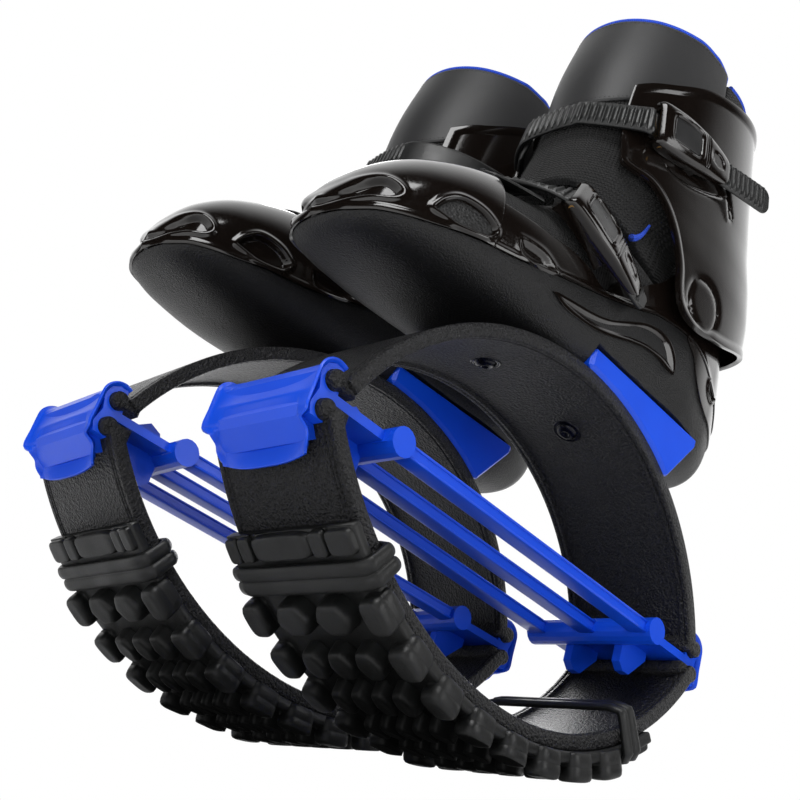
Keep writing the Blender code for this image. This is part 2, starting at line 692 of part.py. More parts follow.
def bolt_hole(reach):
    seat, out = bolt_line(reach)
    end = seat + out * (bolt_length(reach) + CLEARANCE)
    return rod("hole", seat - out * BOW_THICKNESS, end, BOLT_SHANK_RADIUS + CLEARANCE, 12)


def bolt_spot(reach):
    """A cutter for the round recess of a bolt's head in the bow's inner face."""
    seat, out = bolt_line(reach)
    return rod("spot", seat - out * BOW_THICKNESS, seat, BOLT_HEAD_RADIUS + CLEARANCE, 16)


def saddle_bolt(reach):
    """A domed head inside the bow and a shank up into the sole."""
    seat, out = bolt_line(reach)
    length = bolt_length(reach)
    head, shank = BOLT_HEAD_RADIUS, BOLT_SHANK_RADIUS
    profile = [(0, length), (shank, length), (shank, -CLEARANCE), (head, -CLEARANCE),
               (head, -BOLT_HEAD_HEIGHT * 0.4), (head * 0.7, -BOLT_HEAD_HEIGHT * 0.85),
               (0, -BOLT_HEAD_HEIGHT)]
    return turned("bolt", profile, seat, out, 12)


HULL_BASE = UPPER_RISE + BOW_THICKNESS / 2 - TOE_DROP
RIVET_HEIGHT = CUFF_BASE + RIVET_RISE
TOE_TIP = BOOT_BACK - BOOT_LENGTH


def boot_points(shares):
    """Side-view points from shares of the boot's length and of the hull's height."""
    return [(TOE_TIP + BOOT_LENGTH * along, HULL_BASE + HULL_HEIGHT * up) for along, up in shares]


def hull_rings(inset, floor_rise=None):
    """Cross-sections of the boot, toe to heel, drawn in by inset.

    Each is a superellipse, flatter below its widest level than above, about a centre line that turns
    towards the inside of the foot at the toe. With floor_rise its underside is flat, that much above
    the sole's floor.
    """
    turn = np.linspace(0, 2 * math.pi, HULL_SIDES, endpoint=False) + math.pi / HULL_SIDES
    rings = []
    for along, wide, low, high, floor in HULL_SHARES:
        y = TOE_TIP + inset + (BOOT_LENGTH - 2 * inset) * along
        half = BOOT_HALF_WIDTH * wide * (1 - inset / BOOT_HALF_WIDTH)
        bottom = HULL_BASE + HULL_HEIGHT * low + inset
        top = HULL_BASE + HULL_HEIGHT * high - inset
        waist = bottom + (top - bottom) * HULL_WAIST_SHARE
        shift = -TOE_SHIFT * max(0.0, 1 - along / TOE_SHIFT_SHARE) ** 2
        crown = 2.1 + 1.1 * along
        x = half * np.sign(np.cos(turn)) * np.abs(np.cos(turn)) ** (2 / 2.5)
        rise = np.abs(np.sin(turn))
        z = np.where(np.sin(turn) > 0, waist + (top - waist) * rise ** (2 / crown),
                     waist - (waist - bottom) * rise ** (2 / 3.2))
        if floor_rise is not None:
            z = np.maximum(z, HULL_BASE + HULL_HEIGHT * floor + floor_rise)
        rings.append(np.column_stack([x + shift, np.full(HULL_SIDES, y), z]))
    return rings


def region(name, line, up):
    """All that lies above (or below) a side-view line, as a cutter."""
    limit = HULL_BASE + (HULL_HEIGHT + CUFF_HEIGHT + CUT_OVERRUN) * (1 if up else -1)
    outline = list(line) + [(line[-1][0], limit), (line[0][0], limit)]
    return side_slab(name, outline, BOOT_HALF_WIDTH * 2)


def sole_shell():
    """The lower tray of the boot, up to the parting line, seated on the upper bow and round the saddle."""
    body = lofted("sole", hull_rings(0))
    line = [(y, z - CLEARANCE / 2) for y, z in boot_points(PARTING_SHARES)]
    cutters = [lofted("inside", hull_rings(SHELL_WALL, 0)), region("above", line, True),
               bow_seat(UPPER, BOW_THICKNESS / 2 + CLEARANCE, 0.9)]
    pocket = (BOOT_HALF_WIDTH + CUT_OVERRUN, SADDLE_BACK + CLEARANCE, SADDLE_TOP + CLEARANCE)
    cutters.append(block("pocket", (-pocket[0], SADDLE_FRONT - CLEARANCE, 0), pocket))
    cutters += [bolt_hole(FRONT_BOLT_REACH), bolt_hole(REAR_BOLT_REACH)]
    return combined(body, cutters, "DIFFERENCE")


def boot_shell():
    """The glossy upper shell above the parting line, open at the throat, with a toe slot and vents."""
    body = lofted("shell", hull_rings(0))
    line = [(y, z + CLEARANCE / 2) for y, z in boot_points(PARTING_SHARES)]
    cutters = [lofted("inside", hull_rings(SHELL_WALL, 0)), region("below", line, False),
               region("throat", boot_points(THROAT_SHARES), True)]
    reach = BOOT_HALF_WIDTH + CUT_OVERRUN
    for y, z in boot_points(VENT_SHARES):
        cutters.append(rod("vent", (-reach, y, z), (reach, y, z), VENT_HEIGHT / 2, 16, VENT_LENGTH / 2))
    for y, z in boot_points(INNER_VENT_SHARES):
        cutters.append(rod("vent", (-reach, y, z), (0, y, z), INNER_VENT_HEIGHT / 2, 16,
                           INNER_VENT_LENGTH / 2))
    slot = HULL_BASE + HULL_HEIGHT * TOE_SLOT_SHARE
    cutters.append(rod("toe_slot", (-TOE_SHIFT / 2, TOE_TIP - CUT_OVERRUN, slot),
                       (-TOE_SHIFT / 2, TOE_TIP + CUT_OVERRUN, slot),
                       TOE_SLOT_HEIGHT / 2, 16, TOE_SLOT_WIDTH / 2))
    cutters += rivet_holes(RIVET_SHANK_RADIUS + CLEARANCE) + [strap_rivet_hole(INSTEP_ANCHOR)]
    return combined(body, cutters, "DIFFERENCE")


def liner_foot():
    """The padded foot of the liner, with the hollow for the foot, up to the ankle."""
    floor = 4 * CLEARANCE
    body = lofted("liner", hull_rings(SHELL_WALL + CLEARANCE, floor))
    inside = lofted("inside", hull_rings(SHELL_WALL + CLEARANCE + LINER_WALL, floor + LINER_WALL))
    return combined(body, [inside, region("above", boot_points(ANKLE_SPLIT_SHARES), True)], "DIFFERENCE")


def insole():
    """A footbed strip on the liner's floor."""
    inset = SHELL_WALL + CLEARANCE + LINER_WALL
    rings = []
    for along, wide, _, _, floor in HULL_SHARES[1:-1]:
        y = TOE_TIP + inset + (BOOT_LENGTH - 2 * inset) * along
        half = BOOT_HALF_WIDTH * wide * (1 - inset / BOOT_HALF_WIDTH) * INSOLE_WIDTH_SHARE
        shift = -TOE_SHIFT * max(0.0, 1 - along / TOE_SHIFT_SHARE) ** 2
        low = HULL_BASE + HULL_HEIGHT * floor + LINER_WALL + 5 * CLEARANCE
        rings.append([(shift - half, y, low), (shift + half, y, low),
                      (shift + half, y, low + INSOLE_THICKNESS),
                      (shift - half, y, low + INSOLE_THICKNESS)])
    return lofted("insole", rings)


def shaft_rings(inset, ankle, heights):
    """Level sections of the shaft, drawn in by inset from the cuff's face, and by a share at the ankle."""
    turn = np.linspace(0, 2 * math.pi, SHAFT_SIDES, endpoint=False) + math.pi / SHAFT_SIDES
    rings = []
    for share in heights:
        front, back, half, waist, power = shaft_size(share)
        front += inset
        back -= inset + ankle * waist * ANKLE_BACK_INSET
        half -= inset + ankle * waist * ANKLE_INSET
        x = half * np.sign(np.cos(turn)) * np.abs(np.cos(turn)) ** (2 / power)
        y = np.sign(np.sin(turn)) * np.abs(np.sin(turn)) ** (2 / power) * (back - front) / 2 + (front + back) / 2
        rings.append(np.column_stack([x, y, np.full(SHAFT_SIDES, CUFF_BASE + CUFF_HEIGHT * share)]))
    return rings


def shaft_size(share):
    """The cuff's front, back and half width, the ankle's share and the section's power, at a level."""
    near, far, wide, ankle, power = [np.interp(share, CUFF_SHARES[:, 0], CUFF_SHARES[:, column])
                                     for column in range(1, 6)]
    front, back = CUFF_FRONT + CUFF_DEPTH * near, CUFF_FRONT + CUFF_DEPTH * far
    return front, back, CUFF_HALF_WIDTH * wide, ankle, power


def cuff_points(shares):
    """Side-view points from shares of the cuff's depth and height."""
    return [(CUFF_FRONT + CUFF_DEPTH * along, CUFF_BASE + CUFF_HEIGHT * up) for along, up in shares]


SHAFT_LEVELS = [0.0, 0.2, 0.31, 0.45, 0.7, 1.0]


def shaft_tube(name, outset, inset, ankle):
    """A tube between two offsets of the cuff's outer face."""
    body = lofted(name, shaft_rings(outset, ankle, SHAFT_LEVELS))
    beyond = [SHAFT_LEVELS[0] - 0.01] + SHAFT_LEVELS[1:-1] + [SHAFT_LEVELS[-1] + 0.01]
    return combined(body, [lofted("bore", shaft_rings(inset, ankle, beyond))], "DIFFERENCE")


def cuff():
    """The glossy shell round the shin, open in front, cut to its side outline."""
    body = shaft_tube("cuff", 0, CUFF_WALL, 0)
    keep = side_slab("keep", cuff_points(CUFF_OUTLINE_SHARES), CUFF_HALF_WIDTH * 2)
    body = combined(body, [keep], "INTERSECT")
    return combined(body, rivet_holes(RIVET_SHANK_RADIUS + CLEARANCE) + [strap_rivet_hole(CUFF_ANCHOR)],
                    "DIFFERENCE")


def shaft_liner(name, top_shares, forward):
    """One half of the liner's shaft, before or behind the tongue's edge, from ankle to top line."""
    body = shaft_tube(name, CUFF_WALL + CLEARANCE, CUFF_WALL + CLEARANCE + SHAFT_LINER_WALL, 1)
    far = BOOT_LENGTH if forward else -BOOT_LENGTH
    edge = TONGUE_EDGE + (CLEARANCE / 2 if not forward else -CLEARANCE / 2)
    reach = CUFF_HALF_WIDTH * 2
    half = block("half", (-reach, min(edge, far), 0), (reach, max(edge, far), CUFF_BASE + CUFF_HEIGHT * 2))
    cutters = [half, region("top", cuff_points(top_shares), True),
               region("foot", boot_points(SHAFT_FOOT_SHARES), False)]
    return combined(body, cutters, "DIFFERENCE")


def rivet_holes(radius):
    """Cutters for the two holes on the cuff's tilt axis."""
    reach = CUFF_HALF_WIDTH + CUT_OVERRUN
    inner = BOOT_HALF_WIDTH / 2
    return [rod("hole", (way * inner, RIVET_REACH, RIVET_HEIGHT), (way * reach, RIVET_REACH, RIVET_HEIGHT),
                radius, 12)
            for way in (-1, 1)]


def cuff_rivet(way):
    """A rivet with a domed head outside the cuff and a flange inside the shell."""
    share = (RIVET_HEIGHT - CUFF_BASE) / CUFF_HEIGHT
    outer = widest(shaft_rings(0, 0, [share]), RIVET_REACH)
    shell = widest(level_section(RIVET_HEIGHT), RIVET_REACH)
    seat = outer + 2 * CLEARANCE
    flange = shell - SHELL_WALL - RIVET_ROOM
    head, shank = RIVET_HEAD_RADIUS, RIVET_SHANK_RADIUS
    profile = [(0, seat + RIVET_HEAD_HEIGHT), (head * 0.6, seat + RIVET_HEAD_HEIGHT * 0.85),
               (head, seat + RIVET_HEAD_HEIGHT * 0.3), (head, seat), (shank, seat), (shank, flange),
               (RIVET_FLANGE_RADIUS, flange), (RIVET_FLANGE_RADIUS, flange - RIVET_FLANGE_HEIGHT),
               (0, flange - RIVET_FLANGE_HEIGHT)]
    return turned("rivet", profile, (0, RIVET_REACH, RIVET_HEIGHT), (way, 0, 0), 12)


def widest(rings, y):
    """Half width of a level section at a given y, on its outer side."""
    ring = np.asarray(rings[0])
    side = ring[ring[:, 0] > 0]
    order = np.argsort(side[:, 1])
    return float(np.interp(y, side[order, 1], side[order, 0]))


def level_section(height):
    """The boot's hull cut level at a height, as a ring of points on its outer side."""
    points = []
    for ring in hull_rings(0):
        side = ring[ring[:, 0] > ring[:, 0].mean()]
        order = np.argsort(side[:, 2])
        points.append((np.interp(height, side[order, 2], side[order, 0]), ring[0, 1], height))
    return [np.array(points)]


STRAP_LIFT = -BASE_TOP + CLEARANCE + STRAP_THICKNESS / 2


def framed(origin, along, out):
    """A matrix whose axes run along, across and out of a surface, from an origin on it."""
    along = Vector(along).normalized()
    out = Vector(out)
    out = (out - along * out.dot(along)).normalized()
    across = out.cross(along)
    return Matrix((
        (along.x, across.x, out.x, origin[0]), (along.y, across.y, out.y, origin[1]),
        (along.z, across.z, out.z, origin[2]), (0, 0, 0, 1)))


# Hinge of each buckle: where its pin is, its lever's direction at rest and the direction out of the boot
CUFF_HINGE = (CUFF_HALF_WIDTH * 0.98113, CUFF_FRONT + CUFF_DEPTH * 0.22872, CUFF_BASE + CUFF_HEIGHT * 0.49)
CUFF_LEVER_LIE = (0.158, 0.978, 0.133)
CUFF_OUT = (0.985, -0.158, 0.0)
INSTEP_HINGE = (BOOT_HALF_WIDTH * 0.97, TOE_TIP + BOOT_LENGTH * 0.35932, HULL_BASE + HULL_HEIGHT * 0.575)
INSTEP_LEVER_LIE = (0.16, 0.894, -0.418)
INSTEP_OUT = (0.95, -0.02, 0.30)
CUFF_BUCKLE = framed(CUFF_HINGE, CUFF_LEVER_LIE, CUFF_OUT)
INSTEP_BUCKLE = framed(INSTEP_HINGE, INSTEP_LEVER_LIE, INSTEP_OUT)


def lever(place):
    """A tapering lever, hollow over the strap, with a bare recessed window."""
    stations = [
        (-LEVER_HEEL, 0.86, 0.62, 0.6), (0.0, 1.0, 0.85, 1.0), (LEVER_LENGTH * 0.22, 1.0, 1.0, 1.0),
        (LEVER_LENGTH * 0.55, 0.84, 0.85, 1.0), (LEVER_LENGTH * 0.85, 0.62, 0.35, 0.95),
        (LEVER_LENGTH, 0.36, -0.1, 0.7)]
    rings = []
    for along, wide_share, top_share, foot_share in stations:
        half = LEVER_HALF_WIDTH * wide_share
        top, foot = LEVER_TOP * top_share, -LEVER_DEPTH * foot_share
        shoulder = top - (top - foot) * 0.3
        rings.append([(along, -half, foot), (along, half, foot), (along, half, shoulder),
                      (along, half * 0.72, top),
                      (along, -half * 0.72, top), (along, -half, shoulder)])
    body = lofted("lever", rings)
    body.data.transform(place)
    room = LEVER_HALF_WIDTH - LEVER_WALL
    hollow = block("hollow", (-LEVER_HEEL - CUT_OVERRUN, -room, -LEVER_DEPTH - CUT_OVERRUN),
                   (LEVER_ROOM, room, LEVER_TOP - LEVER_WALL), place)
    notch = block("notch", (-LEVER_HEEL - CUT_OVERRUN, -room, 0),
                  (-LEVER_HEEL / 2, room, LEVER_TOP + CUT_OVERRUN), place)
    over_strap = STRAP_LIFT + STRAP_THICKNESS / 2 + CLEARANCE
    under_tip = block("under_tip", (LEVER_ROOM - LEVER_WALL, -LEVER_LENGTH, -LEVER_LENGTH),
                      (LEVER_LENGTH * 2, LEVER_LENGTH, over_strap), place)
    window = block("window", (LEVER_HEEL * 0.8, -WINDOW_HALF_WIDTH, LEVER_TOP * 0.97 - WINDOW_DEPTH),
                   (LEVER_HEEL * 0.8 + WINDOW_LENGTH, WINDOW_HALF_WIDTH, LEVER_TOP + CUT_OVERRUN), place)
    return combined(body, [hollow, notch, under_tip, window, pin_rod(place, CLEARANCE)], "DIFFERENCE")


def pin_rod(place, room):
    """The hinge pin, or the hole for it."""
    reach = LEVER_HALF_WIDTH + (CUT_OVERRUN if room else -CLEARANCE)
    return rod("pin", place @ Vector((0, -reach, 0)), place @ Vector((0, reach, 0)), PIN_RADIUS + room, 10)


def buckle_base(place, seat):
    """A plate shaped to what it sits on, with two round ears for the pin, clear of the turning lever."""
    half = LEVER_HALF_WIDTH - LEVER_WALL - 2 * CLEARANCE
    plate = block("base", (-BASE_HEEL, -half, -BASE_DEPTH), (BASE_LENGTH, half, -BASE_TOP), place)
    radius = EAR_LENGTH / 2
    outline = [(radius * math.cos(math.radians(turn)), radius * math.sin(math.radians(turn)))
               for turn in range(0, 181, 30)]
    outline += [(-radius, -BASE_TOP - CLEARANCE * 4), (radius, -BASE_TOP - CLEARANCE * 4)]
    ears = []
    for way in (-1, 1):
        middle = Matrix.Translation((0, way * (half - EAR_THICKNESS / 2), 0))
        ears.append(slab("ear", outline, EAR_THICKNESS / 2, place @ middle @ ACROSS_VIEW))
    body = combined(plate, ears, "UNION")
    return combined(body, [seat, pin_rod(place, CLEARANCE)], "DIFFERENCE")


def strap(name, centres, outs, width, thickness):
    """A flat strap through points on its middle, each with the direction out of the boot."""
    centres, outs = np.asarray(centres, float), np.asarray(outs, float)
    tangents = np.gradient(centres, axis=0)
    tangents /= np.linalg.norm(tangents, axis=1, keepdims=True)
    outs = outs - tangents * np.sum(outs * tangents, axis=1, keepdims=True)
    outs /= np.linalg.norm(outs, axis=1, keepdims=True)
    across = np.cross(outs, tangents)
    half, thick = width / 2, thickness / 2
    rings = [[c - a * half - o * thick, c + a * half - o * thick, c + a * half + o * thick,
              c - a * half + o * thick]
             for c, a, o in zip(centres, across, outs)]
    return lofted(name, rings)


def smoothed(points, steps):
    """Points on a smooth curve through the given points, as a Catmull-Rom spline."""
    points = np.asarray(points, float)
    padded = np.vstack([2 * points[0] - points[1], points, 2 * points[-1] - points[-2]])
    curve = []
    for i in range(len(points) - 1):
        a, b, c, d = padded[i:i + 4]
        for t in np.arange(steps) / steps:
            bend = (2 * a - 5 * b + 4 * c - d) * t ** 2 + (3 * b - a - 3 * c + d) * t ** 3
            curve.append((2 * b + (c - a) * t + bend) / 2)
    return np.array(curve + [points[-1]])


def signed_power(value, power):
    return math.copysign(abs(value) ** power, value)


def shaft_surface(share, turn):
    """A point on the cuff's outer face at a share of its height, at a turn about its axis."""
    front, back, half, _, power = shaft_size(share)
    x = half * signed_power(math.cos(turn), 2 / power)
    y = (front + back) / 2 + (back - front) / 2 * signed_power(math.sin(turn), 2 / power)
    return Vector((x, y, CUFF_BASE + CUFF_HEIGHT * share))


def hull_surface(share, turn):
    """A point on the boot's hull at a share of its length, at a turn about its length."""
    wide, low, high = [np.interp(share, HULL_SHARES[:, 0], HULL_SHARES[:, column]) for column in (1, 2, 3)]
    bottom = HULL_BASE + HULL_HEIGHT * low
    top = HULL_BASE + HULL_HEIGHT * high
    waist = bottom + (top - bottom) * HULL_WAIST_SHARE
    shift = -TOE_SHIFT * max(0.0, 1 - share / TOE_SHIFT_SHARE) ** 2
    x = BOOT_HALF_WIDTH * wide * signed_power(math.cos(turn), 2 / 2.5)
    z = (top - waist) * signed_power(math.sin(turn), 2 / (2.1 + 1.1 * share))
    return Vector((x + shift, TOE_TIP + BOOT_LENGTH * share, waist + z))


def raised(surface, share, turn, outset):
    """A point at an outset from a surface, and the direction out of it there."""
    nudge = 0.01
    along = surface(share + nudge, turn) - surface(share - nudge, turn)
    around = surface(share, turn + nudge) - surface(share, turn - nudge)
    out = along.cross(around).normalized()
    point = surface(share, turn)
    middle = Vector((0, (CUFF_FRONT + CUFF_FRONT + CUFF_DEPTH) / 2, point.z)) if surface is shaft_surface \
        else Vector((0, point.y, HULL_BASE + HULL_HEIGHT / 3))
    if out.dot(point - middle) < 0:
        out.negate()
    return point + out * outset, out


def shaft_point(share, turn, outset):
    return raised(shaft_surface, share, turn, outset)


def hull_point(share, turn, outset):
    return raised(hull_surface, share, turn, outset)


PAD_LIFT = CLEARANCE + PAD_THICKNESS / 2
OVER_PAD = CLEARANCE * 2 + PAD_THICKNESS + STRAP_THICKNESS / 2
OVER_PLATE = CLEARANCE * 2 + PLATE_THICKNESS + STRAP_THICKNESS / 2
CUFF_STRAP_SHARE = 0.485
CUFF_PAD_TURNS = [math.radians(angle) for angle in (-172, -160, -150, -141, -133, -126, -120, -114)]
CUFF_STRAP_TURNS = [math.radians(angle) for angle in (-160, -150, -141, -133, -126, -119, -111, -103, -95,
                                                      -87, -79, -71)]
CUFF_STRAP_SLACK_SHARES = (1, 1, 1, 1, 1, 1, 0.95, 0.6, 0.35, 0.3, 0.35, 0.5)
INSTEP_STRAP_PLACES = [
    (0.290, 174), (0.295, 163), (0.300, 150), (0.306, 135), (0.310, 115), (0.308, 92), (0.304, 72),
    (0.300, 55)]


def strap_tail(place, reaches):
    """Points of a strap's straight run through its buckle, with the direction out of the boot."""
    out = (place.to_3x3() @ Vector((0, 0, 1)))
    return [(place @ Vector((reach, 0, STRAP_LIFT)), out) for reach in reaches]


def cuff_run():
    """Points on the middle of the cuff's strap, from over its pad round the shin to its free end."""
    places = [shaft_point(CUFF_STRAP_SHARE, turn, OVER_PAD * slack)
              for turn, slack in zip(CUFF_STRAP_TURNS, CUFF_STRAP_SLACK_SHARES)]
    return places + strap_tail(CUFF_BUCKLE, [-STRAP_ENTRY, -STRAP_ENTRY / 2, 0, BASE_LENGTH, LEVER_LENGTH,
                                             LEVER_LENGTH * 1.6])


def instep_run():
    """Points on the middle of the instep's strap, from the inner side of the shell to its free end."""
    places = [hull_point(share, math.radians(turn), OVER_PLATE) for share, turn in INSTEP_STRAP_PLACES]
    return places + strap_tail(INSTEP_BUCKLE, [-STRAP_ENTRY, -STRAP_ENTRY / 2, 0, BASE_LENGTH, LEVER_LENGTH,
                                               LEVER_LENGTH * 1.1])


CUFF_RUN = cuff_run()
INSTEP_RUN = instep_run()


def strap_body(places, room):
    """The strap through these places, grown all round by a room."""
    centres = smoothed([tuple(point) for point, _ in places], 2)
    outs = smoothed([tuple(out) for _, out in places], 2)
    return strap("strap", centres, outs, STRAP_WIDTH + 2 * room, STRAP_THICKNESS + 2 * room)


def cuff_strap():
    """A ladder strap from over its pad round the shin and through the cuff's buckle."""
    return combined(strap_body(CUFF_RUN, 0), [strap_rivet_hole(CUFF_ANCHOR)], "DIFFERENCE")


def cuff_strap_pad():
    """A moulded rubber pad on the inner side of the cuff, under the strap's fixed end."""
    places = [shaft_point(CUFF_STRAP_SHARE, turn, PAD_LIFT) for turn in CUFF_PAD_TURNS]
    body = strap("pad", [tuple(point) for point, _ in places], [tuple(out) for _, out in places], PAD_WIDTH,
                 PAD_THICKNESS)
    return combined(body, [strap_rivet_hole(CUFF_ANCHOR), shaft_solid()], "DIFFERENCE")


def instep_strap():
    """A ladder strap from the inner side of the shell across the instep and through the lower buckle."""
    return combined(strap_body(INSTEP_RUN, 0), [strap_rivet_hole(INSTEP_ANCHOR)], "DIFFERENCE")


def instep_plate():
    """A broad rubber plate over the instep, riveted with the strap to the inner side of the shell."""
    body = lofted("plate", hull_rings(-CLEARANCE - PLATE_THICKNESS))
    low = (-BOOT_HALF_WIDTH * 2, PLATE_FRONT, PLATE_LOWER_EDGE)
    high = (BOOT_HALF_WIDTH * 2, PLATE_FRONT + PLATE_WIDTH, HULL_BASE + HULL_HEIGHT * 2)
    body = combined(body, [block("keep", low, high)], "INTERSECT")
    half = LEVER_HALF_WIDTH + CLEARANCE
    heel = block("heel", (-BASE_HEEL - CLEARANCE, -half, -BASE_DEPTH * 2), (BASE_LENGTH, half, BASE_DEPTH),
                 INSTEP_BUCKLE)
    cutters = [hull_solid(), strap_rivet_hole(INSTEP_ANCHOR), heel, strap_body(INSTEP_RUN, CLEARANCE)]
    return combined(body, cutters, "DIFFERENCE")


CUFF_ANCHOR = shaft_point(CUFF_STRAP_SHARE, CUFF_STRAP_TURNS[1] - math.radians(3), 0)
INSTEP_ANCHOR = hull_point(INSTEP_STRAP_PLACES[0][0] + 0.003, math.radians(INSTEP_STRAP_PLACES[0][1] - 4), 0)


def strap_rivet_hole(anchor):
    point, out = anchor
    return rod("hole", point - out * CUT_OVERRUN / 2, point + out * CUT_OVERRUN / 2,
               STRAP_RIVET_SHANK_RADIUS + CLEARANCE, 10)


def strap_rivet(anchor, wall, pad):
    """A small rivet through a strap, its pad and the wall behind them."""
    point, out = anchor
    seat = pad + STRAP_THICKNESS + 3 * CLEARANCE
    head, shank = STRAP_RIVET_HEAD_RADIUS, STRAP_RIVET_SHANK_RADIUS
    top = seat + STRAP_RIVET_HEAD_HEIGHT
    profile = [(0, top), (head * 0.7, top), (head, seat + STRAP_RIVET_HEAD_HEIGHT * 0.5), (head, seat),
               (shank, seat),
               (shank, -wall + CLEARANCE), (0, -wall + CLEARANCE)]
    return turned("rivet", profile, point, out, 10)


def shaft_solid():
    """The filled shaft, a clearance larger than the cuff's outer face, to shape what sits on the cuff."""
    return lofted("shaft", shaft_rings(-CLEARANCE, 0, SHAFT_LEVELS))


def hull_solid():
    """The filled boot, a clearance larger than its shell, to shape what sits on it."""
    return lofted("hull", hull_rings(-CLEARANCE))


# Each piece of one shoe: its name, its finish, the place of its joint or None, and its shape
TILT_AXIS = (0, RIVET_REACH, RIVET_HEIGHT)
PIECES = [
    ("lower_bow", "grained_black", None, bow(LOWER)),
    ("upper_bow", "grained_black", None, bow(UPPER)),
    ("tension_spring", "blue", None, tension_spring()),
    ("tread", "rubber", None, tread()),
    ("tread_band_front", "rubber", None, tread_band(-1, FRONT_BAND_ROOM)),
    ("tread_band_rear", "rubber", None, tread_band(1, REAR_BAND_ROOM)),
    ("saddle", "blue", None, saddle()),
    ("saddle_bolt_front", "steel", None, saddle_bolt(FRONT_BOLT_REACH)),
    ("saddle_bolt_rear", "steel", None, saddle_bolt(REAR_BOLT_REACH)),
    ("sole_shell", "grained_black", None, sole_shell()),
    ("boot_shell", "gloss_black", None, boot_shell()),
    ("insole", "knit", None, insole()),
    ("liner_foot", "knit", None, liner_foot()),
    ("instep_strap", "rubber", None, instep_strap()),
    ("instep_plate", "rubber", None, instep_plate()),
    ("instep_strap_rivet", "steel", None, strap_rivet(INSTEP_ANCHOR, SHELL_WALL, PLATE_THICKNESS)),
    ("instep_buckle_base", "gloss_black", None, buckle_base(INSTEP_BUCKLE, hull_solid())),
    ("instep_buckle_pin", "brass", None, pin_rod(INSTEP_BUCKLE, 0)),
    ("instep_buckle_lever", "gloss_black", INSTEP_HINGE, lever(INSTEP_BUCKLE)),
    ("cuff_rivet_outer", "gloss_black", None, cuff_rivet(1)),
    ("cuff_rivet_inner", "gloss_black", None, cuff_rivet(-1)),
    ("cuff", "gloss_black", TILT_AXIS, cuff()),
    ("liner_collar", "knit", TILT_AXIS, shaft_liner("collar", COLLAR_TOP_SHARES, False)),
    ("tongue", "leather", TILT_AXIS, shaft_liner("tongue", TONGUE_TOP_SHARES, True)),
    ("cuff_strap", "rubber", TILT_AXIS, cuff_strap()),
    ("cuff_strap_pad", "rubber", TILT_AXIS, cuff_strap_pad()),
    ("cuff_strap_rivet", "steel", TILT_AXIS, strap_rivet(CUFF_ANCHOR, CUFF_WALL, PAD_THICKNESS)),
    ("cuff_buckle_base", "gloss_black", TILT_AXIS, buckle_base(CUFF_BUCKLE, shaft_solid())),
    ("cuff_buckle_pin", "brass", TILT_AXIS, pin_rod(CUFF_BUCKLE, 0)),
    ("cuff_buckle_lever", "gloss_black", CUFF_HINGE, lever(CUFF_BUCKLE)),
]


def stand_pair():
    """Places both shoes' pieces under an empty for each shoe and one for each joint."""
    collection = bpy.data.collections.new(SHOE_NAME)
    bpy.context.scene.collection.children.link(collection)
    for side_name, way in (("left", 1), ("right", -1)):
        shoe = bpy.data.objects.new(f"{side_name}_shoe_axis", None)
        collection.objects.link(shoe)
        shoe.location = (way * SHOE_SPACING / 2, way * SHOE_STAGGER / 2 + PAIR_SHIFT, MID_HEIGHT)
        shoe.rotation_euler = (0, 0, way * TOE_OUT)
        shoe.scale = (way, 1, 1)
        pivots = {}
        for name, finish_name, pivot, shape in PIECES:
            mesh = shape.data
            if way == 1:
                mesh.name = name
                mesh.materials.clear()
                mesh.materials.append(FINISHES[finish_name])
                mesh.transform(Matrix.Translation(Vector(pivot or (0, 0, 0))).inverted())
                mesh.shade_smooth()
                mesh.set_sharp_from_angle(angle=math.radians(35))
            piece = bpy.data.objects.new(f"{side_name}_{name}", mesh)
            collection.objects.link(piece)
            piece.parent = shoe
            if pivot:
                if pivot not in pivots:
                    pivots[pivot] = bpy.data.objects.new(f"{side_name}_{name}_axis", None)
                    collection.objects.link(pivots[pivot])
                    pivots[pivot].parent = shoe
                    pivots[pivot].location = pivot
                piece.parent = pivots[pivot]
    for _, _, _, shape in PIECES:
        bpy.data.objects.remove(shape, do_unlink=True)


stand_pair()
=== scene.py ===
"""The looks of a pair of jumping shoes: buckled boots on sprung bows, in black and blue plastic and knit.

Each piece is worked out in its shoe's own frame, in metres, with the origin at the middle of the tension
spring, the toes towards -Y and the outer side of the foot at +X. It is then placed as the left shoe and
mirrored as the right one.
"""

import math

import bmesh
import bpy
import numpy as np
from mathutils import Matrix, Vector


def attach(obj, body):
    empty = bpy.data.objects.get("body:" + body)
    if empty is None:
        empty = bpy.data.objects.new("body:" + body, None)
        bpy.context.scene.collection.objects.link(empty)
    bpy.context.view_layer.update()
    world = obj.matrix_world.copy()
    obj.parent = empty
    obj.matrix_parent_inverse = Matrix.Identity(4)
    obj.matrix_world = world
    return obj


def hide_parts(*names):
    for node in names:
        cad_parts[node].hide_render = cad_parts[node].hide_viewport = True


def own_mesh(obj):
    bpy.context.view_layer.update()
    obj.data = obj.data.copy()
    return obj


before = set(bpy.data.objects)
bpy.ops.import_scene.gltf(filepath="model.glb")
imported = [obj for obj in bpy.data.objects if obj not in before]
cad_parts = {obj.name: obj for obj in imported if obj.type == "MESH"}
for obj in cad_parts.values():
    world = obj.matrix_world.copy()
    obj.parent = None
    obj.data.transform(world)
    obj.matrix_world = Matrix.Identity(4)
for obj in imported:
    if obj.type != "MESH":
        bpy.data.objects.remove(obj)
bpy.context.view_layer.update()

# Camera, floor and light
# A low camera with a normal lens looks up past the outer side of the left toe, rolled, because the pair
# stands tipped in the view. The floor is a pale sheet, clear from below.

